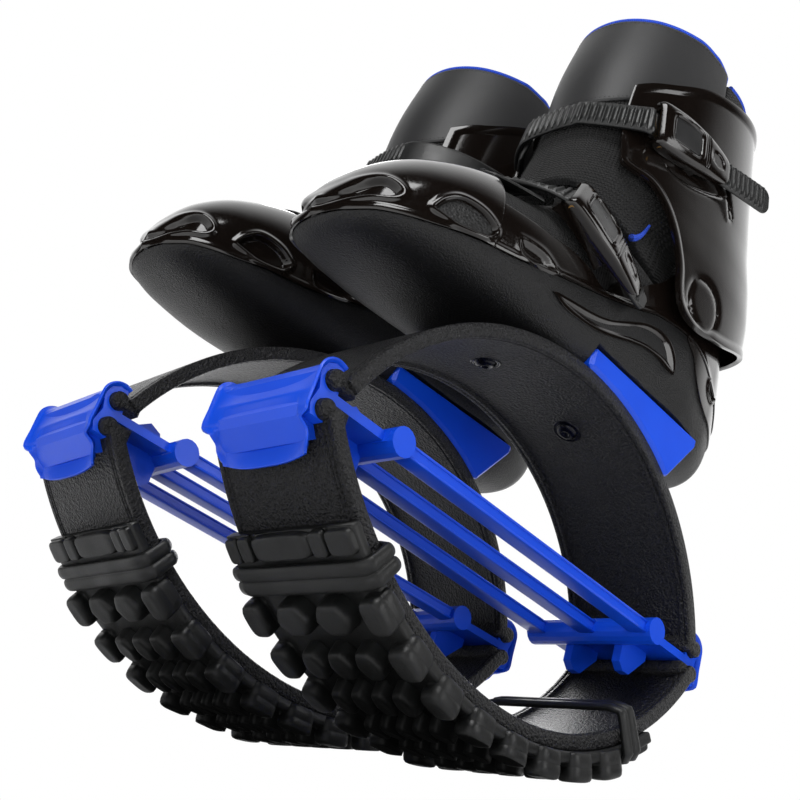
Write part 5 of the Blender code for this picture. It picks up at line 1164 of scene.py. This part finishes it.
def plate_grid():
    """The plate: a patch of the hull from side to side over the crown, narrower at its ends by a cube law."""
    along, across = np.linspace(0, 1, 40)[:, None], np.linspace(0, 1, 130)[None, :]
    aside = np.abs(across * 2 - 1)
    shares = (PLATE_MIDDLE + (along - 0.5) * PLATE_REACH * (1 - PLATE_NARROWING * aside ** 3)
              + PLATE_CURVE * aside ** 2)
    low = hull_turn(shares, PLATE_FOOT)
    turns = low + (math.pi - 2 * low) * across
    edge = np.minimum(np.minimum(along, 1 - along) * 0.042, np.minimum(across, 1 - across) * 0.13)
    rim = smooth_step(edge / 0.0014) - 0.45 * smooth_step((edge - 0.0032) / 0.0012)
    ribs = (0.5 + 0.5 * np.cos(across * 2 * math.pi * PLATE_RIBS)) * smooth_step((edge - 0.005) / 0.001)
    return raised(hull, shares, turns, PLATE_LIFT + PLATE_RIM * rim + PLATE_RIB * ribs)


pair("ribbed_plate", grid(plate_grid()), STRAP_RUBBER, "{}_boot", ["instep_plate"], wall=PLATE_WALL,
     rounding=PLATE_ROUNDING)

# Buckle levers
# Each buckle's lever is a polished black moulding, hollow over the strap. Its crown has a window with a bare
# satin panel, two score lines and an oval dish near the tip.

LEVER_LENGTH, LEVER_HALF_WIDTH, LEVER_TOP, LEVER_DEPTH, LEVER_WALL, LEVER_ROUNDING = (
    0.060, 0.0153, 0.0062, 0.0034, 0.0022, 0.0006)
LEVER_SQUARE, LEVER_START, LEVER_TIP = 0.42, -0.0667, 0.95
WINDOW_AT, WINDOW_REACH, WINDOW_HALF, WINDOW_DEPTH, WINDOW_LIP = 0.0165, 0.0120, 0.0088, 0.0010, 0.0004
OVAL_AT, OVAL_REACH, OVAL_HALF, OVAL_DEPTH = 0.0445, 0.0080, 0.0048, 0.0009
SCORE_LINES, SCORE_DEPTH, SCORE_WIDTH = (0.0335, 0.0352), 0.00045, 0.00035
SHEET_REACH, SHEET_SIDE, SHEET_LEVEL, SHEET_DOME, SHEET_WALL = 0.0108, 0.0078, 0.00525, 0.0003, 0.0004
# Rows of a lever: share of its length, then shares of its half width, its top and its foot
LEVER_ROWS = np.array([
    (-0.0667, 0.90, 0.40, 0.60), (-0.03, 0.97, 0.80, 0.80), (0.05, 1.0, 0.95, 1.0), (0.22, 1.0, 1.0, 1.0),
    (0.55, 0.86, 0.85, 1.0), (0.80, 0.68, 0.42, 0.97), (0.93, 0.55, 0.10, 0.80), (1.0, 0.44, -0.05, 0.70)])


def lever_grid():
    """A lever's outer face: rounded-box sections along it, a window and an oval dish sunk in their crowns.

    The window is a superellipse with a bell-shaped lip, and the score lines are narrow bells along the lever.
    """
    share = np.concatenate([np.linspace(LEVER_START, LEVER_TIP, 110),
                            1 - (1 - LEVER_TIP) * np.cos(np.linspace(0, math.pi / 2, 14))[1:]])[:, None]
    half, top, foot = (flow(share, LEVER_ROWS, column) for column in (1, 2, 3))
    tip = np.sqrt(np.clip(1 - (np.clip((share - 0.90) / 0.101, 0, 1)) ** 2.5, 0, 1))
    half, foot = half * LEVER_HALF_WIDTH * tip, -foot * LEVER_DEPTH
    top = foot + (top * LEVER_TOP - foot) * tip ** 0.6
    turn = np.linspace(math.pi, 0, 61)[None, :]
    turn = turn + 0.22 * np.sin(2 * turn)
    x = half * np.sign(np.cos(turn)) * np.abs(np.cos(turn)) ** LEVER_SQUARE
    z = foot + (top - foot) * np.abs(np.sin(turn)) ** LEVER_SQUARE
    along = share * LEVER_LENGTH
    crown = smooth_step((np.abs(np.sin(turn)) ** LEVER_SQUARE - 0.85) / 0.1)
    corner = (np.abs((along - WINDOW_AT) / WINDOW_REACH) ** 5 + np.abs(x / WINDOW_HALF) ** 5) ** 0.2
    oval = np.hypot((along - OVAL_AT) / OVAL_REACH, x / OVAL_HALF)
    relief = WINDOW_LIP * bell(corner, 1.14, 0.05) - WINDOW_DEPTH * smooth_step((1.04 - corner) / 0.08)
    relief = relief - OVAL_DEPTH * smooth_step((1.05 - oval) / 0.25)
    relief = relief - SCORE_DEPTH * sum(bell(along, line, SCORE_WIDTH) for line in SCORE_LINES)
    return coordinates(along, x, z + crown * relief)


def window_panel():
    """The bare panel at the bottom of the lever's window: a rounded sheet, very slightly domed."""
    u, v = np.meshgrid(np.linspace(-1, 1, 24), np.linspace(-1, 1, 24), indexing="ij")
    x, y = u * np.sqrt(1 - v ** 4 * 0.10), v * np.sqrt(1 - u ** 4 * 0.10)
    z = SHEET_LEVEL + SHEET_DOME * (1 - x ** 2 - y ** 2)
    return coordinates(WINDOW_AT + SHEET_REACH * x, SHEET_SIDE * y, z)


PANEL_BLACK = paint_rubber("satin_black_panel", 0x111112, 0.34)
for name, place in (("cuff", CUFF_BUCKLE), ("instep", INSTEP_BUCKLE)):
    body = "{}_" + name + "_lever"
    pair(f"{name}_lever", moved(grid(lever_grid()), place), GLOSS_BLACK, body, [f"{name}_buckle_lever"],
         wall=LEVER_WALL, rounding=LEVER_ROUNDING, segments=3)
    pair(f"{name}_lever_panel", moved(grid(window_panel()), place), PANEL_BLACK, body,
         wall=SHEET_WALL)

# Bows
# Each frame's two leaves are moulded in grained black plastic: a rimmed section carried along an arc, with a
# double groove near both edges and a bead at each end that hooks into the spring.

BOW_HALF_WIDTH, BOW_EDGE, BOW_RIM, BOW_RECESS = 0.040, 0.0014, 0.006, 0.0015
GROOVE_DEPTH, GROOVE_WIDTH = 0.0007, 0.0005
BEAD_REACH, BEAD_RADIUS, BEAD_HALF_LENGTH = 0.141, 0.0045, 0.0385
TAB_HALF, TAB_NEAR, TAB_FAR = 0.003, -0.006, -0.0115
# Each leaf: its arc, its ends' angle, its body, the height that it flattens about and how much it keeps
LEAVES = {"upper": (UPPER_BOW, 1.1961, "{}_boot", 0.2008, 0.758),
          "lower": (LOWER_BOW, 1.0040, "treads", 0.0, 0.7495)}


def on_bow(bow, x, angle, offset):
    """Points on a bow's arc at a place across it, an angle and an offset outwards."""
    return coordinates(x, *bow_point(bow, *np.broadcast_arrays(angle, offset)))


def leaf_section(half, thick):
    """A leaf's section: rounded edges, two bell-shaped grooves near both outside, and a sunk inner face."""
    turn = np.linspace(math.pi / 2, -math.pi / 2, 9)
    edge = coordinates(half - BOW_EDGE + BOW_EDGE * np.cos(turn),
                       (thick - BOW_EDGE) * np.sign(np.sin(turn)) + BOW_EDGE * np.sin(turn))
    x = np.concatenate([np.linspace(0, half - 0.0095, 8), np.linspace(half - 0.009, half - 0.0016, 32)])
    outer = thick - GROOVE_DEPTH * sum(bell(x, half - inset, GROOVE_WIDTH) for inset in (0.0040, 0.0062))
    sunk = smooth_step((half - BOW_RIM + 0.0006 - x) / 0.0012)
    inner = -thick + BOW_RECESS * sunk + GROOVE_DEPTH * bell(x, half - 0.0032, GROOVE_WIDTH)
    return closed_ring(np.vstack([coordinates(x, outer), edge, coordinates(x, inner)[::-1]]), (-1, 1))


def solid(rings):
    """A closed solid through rings of points, capped at its ends, its faces turned outwards."""
    return outward(grid(rings, wrap=True, ends=True))


def bead_shape(bow, way):
    """A bead with its tab: a keyhole outline carried across the shoe, its two ends drawn in."""
    turn = np.radians(np.linspace(-138, 138, 22))
    tab = [(TAB_NEAR, TAB_HALF), (TAB_FAR, TAB_HALF), (TAB_FAR, -TAB_HALF), (TAB_NEAR, -TAB_HALF)]
    outline = np.vstack([BEAD_RADIUS * coordinates(np.cos(turn), np.sin(turn)), tab])
    across = BEAD_HALF_LENGTH * np.array([-1, -0.985, -0.96, 0.96, 0.985, 1])[:, None]
    ring = outline * np.array([0.72, 0.9, 1, 1, 0.9, 0.72])[:, None, None]
    along, up = way * (BEAD_REACH + ring[..., 0]), bow["side"] * bow["bead"] + ring[..., 1]
    return solid(coordinates(across, along, up))


def flatten(pieces):
    """Gives each piece of a pair its own copy of its mesh."""
    for piece in pieces:
        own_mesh(piece)


# The bows' pebble crests are painted up to seven times lighter than the base colour, as painted glints.
BOW_BLACK = paint_grained("bow_black", 1.38889, 1.0, 0.0013, 0.34, 7.0)
for which, (bow, end, body, _, _) in LEAVES.items():
    section = leaf_section(BOW_HALF_WIDTH, BOW_THICKNESS / 2)
    leaf = solid(on_bow(bow, section[:, 0], np.linspace(-end, end, 130)[:, None], section[:, 1]))
    shape = together(leaf, *[bead_shape(bow, way) for way in (-1, 1)])
    flatten(pair(f"{which}_leaf", shape, BOW_BLACK, body, [f"{which}_bow"]))

# Tread
# A moulded rubber sheet round the lower bow carries rows of rounded six-sided lugs and barrel-like side lugs,
# worn flat where they stand, and low ridges at its ends.

TREAD_MIDDLE, ROW_STEP, ROW_COUNTS = math.radians(-2.2), math.radians(8), (2, 3, 4, 5, 5, 4, 3, 2)
SHEET_INNER, TROUGH, SHOULDER, LUG_TOP, SHEET_HALF = 0.00405, 0.00855, 0.00955, 0.01755, 0.042
FLOOR_LEVEL, RIDGE_ANGLE, SHEET_PAST_RIDGE = -0.0988, math.radians(38.37), 0.0367
LUG_ROOT, RIDGE_RISE = 0.001, 0.004
LUG_HALF_LENGTH, LUG_FILL, ROW_WIDTH, LUG_POWER = 0.0083, 0.40, 0.052, 2.4
BARREL_PLACE, BARREL_HALF_LENGTH, BARREL_HALF, BARREL_POWER = 0.0386, 0.0086, 0.0063, 3.6
RIDGE_HALF_LENGTH, RIDGE_POWER = 0.0058, 5.0
# Ridges across the sheet's ends: middle and half length of each
RIDGES = ((-0.0371, 0.0039), (-0.0286, 0.0038), (-0.0049, 0.0187), (0.0195, 0.0045), (0.0331, 0.0079))
# Rows of a lug and of a barrel: share of the outline's reach, share of the height
LUG_ROWS = np.array([(1.05, 0.0), (1.02, 0.2), (1.0, 0.5), (0.985, 0.7), (0.95, 0.84), (0.88, 0.94),
                     (0.76, 0.99), (0.55, 1.0), (0.30, 0.985)])
BARREL_ROWS = np.array([(0.90, 0.0), (0.97, 0.06), (1.0, 0.2), (1.0, 0.47), (0.965, 0.50), (1.0, 0.53),
                        (0.99, 0.75), (0.94, 0.90), (0.84, 0.97), (0.66, 1.0), (0.35, 0.985)])


def cut_flat(points):
    """Points of the tread, those below the floor brought up to it."""
    points[..., 2] = np.maximum(points[..., 2], FLOOR_LEVEL + 0.0002)
    return points


def lug(angle, across, half_length, half_width, low, high, power, rows, six_sided=False):
    """A lug: rings of a rounded outline, from its foot up over its rounded top, out of the lower bow.

    The outline is a superellipse of a given power. A six-sided one is a third of that and the rest a hexagon.
    """
    turn = np.linspace(0, 2 * math.pi, 36, endpoint=False) + 0.01
    size = 1 / (np.abs(np.cos(turn)) ** power + np.abs(np.sin(turn)) ** power) ** (1 / power)
    if six_sided:
        corner = math.cos(math.pi / 6) / np.cos((turn + math.pi / 6) % (math.pi / 3) - math.pi / 6)
        size = 0.35 * size + 0.65 * corner * 1.04
    reach, offset = rows[:, :1] * size, low + (high - low) * rows[:, 1:]
    along = angle + half_length * reach * np.cos(turn) / (LOWER_BOW["radius"] + 0.012)
    return solid(cut_flat(on_bow(LOWER_BOW, across + half_width * reach * np.sin(turn), along, offset)))


def tread_shapes():
    """The sheet, its lugs by rows and the ridges at its ends."""
    half = np.array([(0, TROUGH), (0.022, TROUGH), (0.0262, TROUGH), (0.0272, SHOULDER), (0.0405, SHOULDER),
                     (0.0416, SHOULDER - 0.0004), (SHEET_HALF, SHOULDER - 0.0014),
                     (SHEET_HALF, SHEET_INNER + 0.0008), (SHEET_HALF - 0.0006, SHEET_INNER),
                     (0.0, SHEET_INNER)])
    section = closed_ring(half, (-1, 1))
    reach = RIDGE_ANGLE + SHEET_PAST_RIDGE
    angles = TREAD_MIDDLE + np.linspace(-reach, reach, 160)[:, None]
    shapes = [solid(cut_flat(on_bow(LOWER_BOW, section[:, 0], angles, section[:, 1])))]
    for row, count in enumerate(ROW_COUNTS):
        angle, pitch = TREAD_MIDDLE + (row - 3.5) * ROW_STEP, ROW_WIDTH / count
        for column in range(count):
            shapes.append(lug(angle, (column - (count - 1) / 2) * pitch, LUG_HALF_LENGTH, pitch * LUG_FILL,
                              TROUGH - LUG_ROOT, LUG_TOP, LUG_POWER, LUG_ROWS, six_sided=True))
        for way in (-1, 1):
            shapes.append(lug(angle, way * BARREL_PLACE, BARREL_HALF_LENGTH, BARREL_HALF,
                              SHEET_INNER + 0.0004, LUG_TOP, BARREL_POWER, BARREL_ROWS))
    for way in (-1, 1):
        for middle, half in RIDGES:
            shapes.append(lug(TREAD_MIDDLE + way * RIDGE_ANGLE, middle, RIDGE_HALF_LENGTH, half,
                              SHOULDER - LUG_ROOT, TROUGH + RIDGE_RISE, RIDGE_POWER, LUG_ROWS))
    return together(*shapes)


TREAD_RUBBER = paint_rubber("tread_rubber", 0x0D0E0E, 0.48)
flatten(pair("lugged_tread", tread_shapes(), TREAD_RUBBER, "treads", ["tread"]))

# Tread bands
# Two flat ribbed loops of the same rubber hold the tread to the lower bow, near its ends.

BAND_ANGLE, BAND_HALF_WIDTH, BAND_CORNER, BAND_BASE, BAND_BEAD, BAND_BACK = (
    math.radians(33.57), 0.0065, 0.0030, 0.0004, 0.0018, -0.0010)
BAND_GAP = 0.0014
# How far inside the bow each band's inner run lies
BAND_ROOM = {-1: 0.0005, 1: 0.008}


def band_shape(way):
    """A band: a section with two half-round beads, carried round a rounded rectangle about bow and tread.

    The rectangle is a square's outline, stretched, then moved out by a high power of the place in it.
    """
    low, high = -BOW_THICKNESS / 2 - BAND_ROOM[way], SHOULDER + 0.0006
    turn = np.linspace(0, 2 * math.pi, 120, endpoint=False)
    quarter = np.floor(turn / (math.pi / 2) + 0.5)
    x = np.clip(np.tan(np.clip(turn - quarter * math.pi / 2, -0.77, 0.77)), -1, 1)
    one = np.ones(len(x))
    across, up = (np.choose(quarter.astype(int) % 4, sides) for sides in ([one, -x, -one, x],
                                                                          [x, one, -x, -one]))
    square = coordinates(across, up)
    out = np.sign(square) * np.abs(square) ** 14
    out /= np.linalg.norm(out, axis=1, keepdims=True)
    flat = (SHEET_HALF + 0.0003 + BAND_GAP - BAND_CORNER, (high - low) / 2 + BAND_GAP - BAND_CORNER)
    place = square * flat + out * BAND_CORNER
    wide = BAND_HALF_WIDTH * np.cos(np.linspace(0, math.pi, 41))
    beads = BAND_BASE + BAND_BEAD * np.sqrt(np.abs(np.sin(math.pi * wide / BAND_HALF_WIDTH)))
    wide, thick = np.concatenate([wide, wide[-2:0:-4]]), np.concatenate([beads, np.full(10, BAND_BACK)])
    angle = TREAD_MIDDLE + way * BAND_ANGLE + wide / (LOWER_BOW["radius"] + 0.005)
    ring = place[:, None] + out[:, None] * thick[:, None]
    points = cut_flat(on_bow(LOWER_BOW, ring[..., 0], angle, (high + low) / 2 + ring[..., 1]))
    return outward(grid(np.concatenate([points, points[:1]]), wrap=True))


for way, name in ((-1, "front"), (1, "rear")):
    flatten(pair(f"{name}_band", band_shape(way), TREAD_RUBBER, "treads", [f"tread_band_{name}"]))

# Tension spring
# One moulding of tough blue plastic. Its heads cover the ends of both bows, and three flanged bars join them.
# The covers and flanges here lie on the frame's own spring.

HEAD_RADIUS, HEAD_HALF, HEAD_STEP_IN, HEAD_FOOT_IN, HEAD_WALL, HEAD_ROUNDING = (
    0.0082, 0.0352, 0.0050, 0.0030, 0.0012, 0.0005)
LOWER_BULGE, UPPER_BULGE, BORDER_RISE, PANEL_SINK = 0.0032, 0.0022, 0.0003, 0.0006
SLIT_DEPTH, EDGE_DROP = 0.0010, 0.0016
HEAD_DROOP, BORDER_PLACE, BORDER_SPREAD = 0.0035, 0.0215, 0.006
BAR_SPACING, FLANGE_LEVEL, FLANGE_HALF, FLANGE_RISE, FLANGE_END = 0.033, 0.0026, 0.0053, 0.0008, 0.099


def paint_blue():
    """Tough blue plastic from a spark-eroded tool: a satin sheen broken by a texture, with faint flow marks.

    The marks are 33 mm long. The texture is 0.7 mm, coarser than the tool's, so that it shows.
    """
    paint, tree, shader, place = new_material("blue", 0x0C48D6, 0.34, Specular_IOR_Level=0.4)
    fine = add(tree, "TexNoise", [(place, "Vector")], Scale=per_metre(0.66667), Detail=3.0)
    add(tree, "Bump", [(fine, "Height")], (shader, "Normal"), Strength=0.25, Distance=0.0002)
    cloud = add(tree, "TexNoise", [(place, "Vector")], Scale=per_metre(33.333), Detail=3.0)
    ramp = add(tree, "ValToRGB", [(cloud, "Fac")], (shader, "Base Color"))
    for stop, shade in zip(ramp.color_ramp.elements, (0x0A44CE, 0x0F50E0)):
        stop.color = linear(shade)
    return paint


def head_line():
    """The spring head's side line: round the upper bead, across the valley, and down the lower bow."""
    turns = [(turn, 1) for turn in (118, 95, 70, 45, 20, -10)] + [(turn, -1) for turn in (-10, 18, 40)]
    path = []
    for turn, side in turns:
        around = math.radians(turn)
        up = side * (0.007 + HEAD_RADIUS * math.sin(around))
        path.append((BEAD_REACH + HEAD_RADIUS * math.cos(around), up))
    for angle in (0.975, 0.945, 0.912):
        along, up = bow_point(LOWER_BOW, angle, 0.0074)
        path.append((along, -abs(up)))
    return smooth_line(path, 90)


def head_cap(way):
    """The spring's head: a crowned cover over the upper bead, a valley, and a bulge over the lower bow.

    The bulges are half sines of the height, crowned across. A border follows the sunk corners of the lower.
    """
    line = head_line()
    slope = np.gradient(line, axis=0)
    out = coordinates(-slope[:, 1], slope[:, 0]) / np.linalg.norm(slope, axis=1, keepdims=True)
    across = np.linspace(-1, 1, 65)[None, :]
    across = np.sign(across) * np.abs(across) ** 0.8
    share, up = np.linspace(0, 1, 90)[:, None], line[:, 1:]
    foot = smooth_step((share - 0.86) / 0.14)
    half = HEAD_HALF - HEAD_STEP_IN * smooth_step((-0.0105 - up) / 0.002) - HEAD_FOOT_IN * foot
    x = half * across
    lower = np.sin(np.clip((-0.002 - up) / 0.024, 0, 1) * math.pi)
    upper = np.sin(np.clip((up + 0.001) / 0.017, 0, 1) * math.pi)
    lift = (LOWER_BULGE * lower + UPPER_BULGE * upper) * (1 - np.abs(across) ** 2.2)
    past = np.abs(x) - BORDER_PLACE - BORDER_SPREAD * share
    lift = lift + (BORDER_RISE * bell(past, 0, 0.0007) - PANEL_SINK * smooth_step(past / 0.0012)) * lower
    lift = lift - SLIT_DEPTH * bell(up, 0.0085, 0.0012) * smooth_step((0.024 - np.abs(x + 0.004)) / 0.003)
    lift = lift - EDGE_DROP * smooth_step((np.abs(x) - half + 0.0024) / 0.0024) ** 2
    place = line[:, None] - out[:, None] * lift[..., None]
    droop = HEAD_DROOP * foot * (1 - np.abs(across) ** 3)
    points = coordinates(x, way * place[..., 0], place[..., 1] - droop)
    return grid(points if way > 0 else points[:, ::-1])


def flanges():
    """Flanges along the three bars, above and below, that leave a channel down each side."""
    turn = np.linspace(0, 2 * math.pi, 20, endpoint=False)
    wide = FLANGE_HALF * np.sign(np.cos(turn)) * np.abs(np.cos(turn)) ** 0.35
    tall = FLANGE_RISE * np.sign(np.sin(turn)) * np.abs(np.sin(turn)) ** 0.5
    along = np.linspace(-FLANGE_END, FLANGE_END, 12)[:, None]
    return together(*[solid(coordinates(column * BAR_SPACING + wide, along, level + tall))
                      for column in (-1, 0, 1) for level in (-FLANGE_LEVEL, FLANGE_LEVEL)])


BLUE = paint_blue()
for way, name in ((-1, "front"), (1, "rear")):
    pair(f"spring_head_{name}", head_cap(way), BLUE, "{}_spring", wall=-HEAD_WALL, rounding=HEAD_ROUNDING)
pair("spring_flanges", flanges(), BLUE, "{}_spring")

# Bolts and screws
# Two domed bolts hold the saddle to the upper bow, and two small screws stand in its rear face. They are
# turned from steel and darkened.

BOLT_ANGLES, BOLT_OFFSET, BOLT_SCALE = (-0.2599, 0.2527), 0.0022, 0.8
SCREW_HALF_SPACING, SCREW_PLACE, SCREW_OUT, SCREW_SCALE = 0.030, (0.0940, 0.0995), (0, 0.78, -0.62), 0.38
# A bolt's head, (radius, height) in millimetres: a dished washer, a dome and a shallow round socket
BOLT_PROFILE = [(10.5, -0.6), (10.2, 0.4), (9.2, 0.8), (8.2, 0.5), (7.4, 0.3), (7.0, 1.2), (6.2, 2.1),
                (4.8, 2.8), (3.2, 3.1), (2.4, 3.0), (2.0, 2.2), (0.2, 2.1)]


def paint_metal(name, hex_value, roughness):
    """Turned metal: a sheen broken up by turning marks of 0.5 mm, drawn coarser than real ones to show."""
    paint, tree, shader, place = new_material(name, hex_value, roughness, Metallic=1.0)
    marks = add(tree, "TexNoise", [(place, "Vector")], Scale=per_metre(0.5), Detail=2.0)
    add(tree, "MapRange", [(marks, "Value")], (shader, "Roughness"), To_Min=roughness - 0.08,
        To_Max=roughness + 0.12)
    return paint


def bolt_head(place, out, scale):
    """A bolt's head: its profile turned about a direction, from a place."""
    radius, height = scale * np.array(BOLT_PROFILE).T[:, :, None] / 1000
    turn = np.linspace(0, 2 * math.pi, 40, endpoint=False)
    return moved(solid(coordinates(radius * np.cos(turn), radius * np.sin(turn), height)), facing(place, out))


BOLT_STEEL = paint_metal("bolt_steel", 0x2C2C2F, 0.25)
for angle, name in zip(BOLT_ANGLES, ("front", "rear")):
    place, out = (0, *bow_point(UPPER_BOW, angle, -BOLT_OFFSET)), (0, -math.sin(angle), -math.cos(angle))
    head = bolt_head(place, out, BOLT_SCALE)
    pair(f"saddle_bolt_head_{name}", head, BOLT_STEEL, "{}_boot", [f"saddle_bolt_{name}"])
screws = [bolt_head((way * SCREW_HALF_SPACING, *SCREW_PLACE), SCREW_OUT, SCREW_SCALE) for way in (-1, 1)]
pair("saddle_screws", together(*screws), BOLT_STEEL, "{}_boot")

# Spring bars, saddle, strap rivets, pins and buckle bases
# These keep the shape of the frame they come from, with moulded edges rounded over and their own finishes.
# The pins are brass, the rivets steel and the buckle bases polished black.

PIN_BRASS = paint_metal("pin_brass", 0xB08850, 0.3)
# Each kept node: its finish and the radius its edges are rounded to
KEPT = {"tension_spring": (BLUE, 0.0012), "saddle": (BLUE, 0.0026),
        "instep_strap_rivet": (BOLT_STEEL, 0.0003), "cuff_strap_rivet": (BOLT_STEEL, 0.0003),
        "instep_buckle_pin": (PIN_BRASS, 0.0003), "cuff_buckle_pin": (PIN_BRASS, 0.0003),
        "instep_buckle_base": (GLOSS_BLACK, 0.0007), "cuff_buckle_base": (GLOSS_BLACK, 0.0007)}
for node, (finish, rounding) in KEPT.items():
    for side in ("left", "right"):
        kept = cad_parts[f"{side}_{node}"]
        for one in kept.material_slots:
            one.material = finish
        round_edges(kept, rounding, 3, 32)
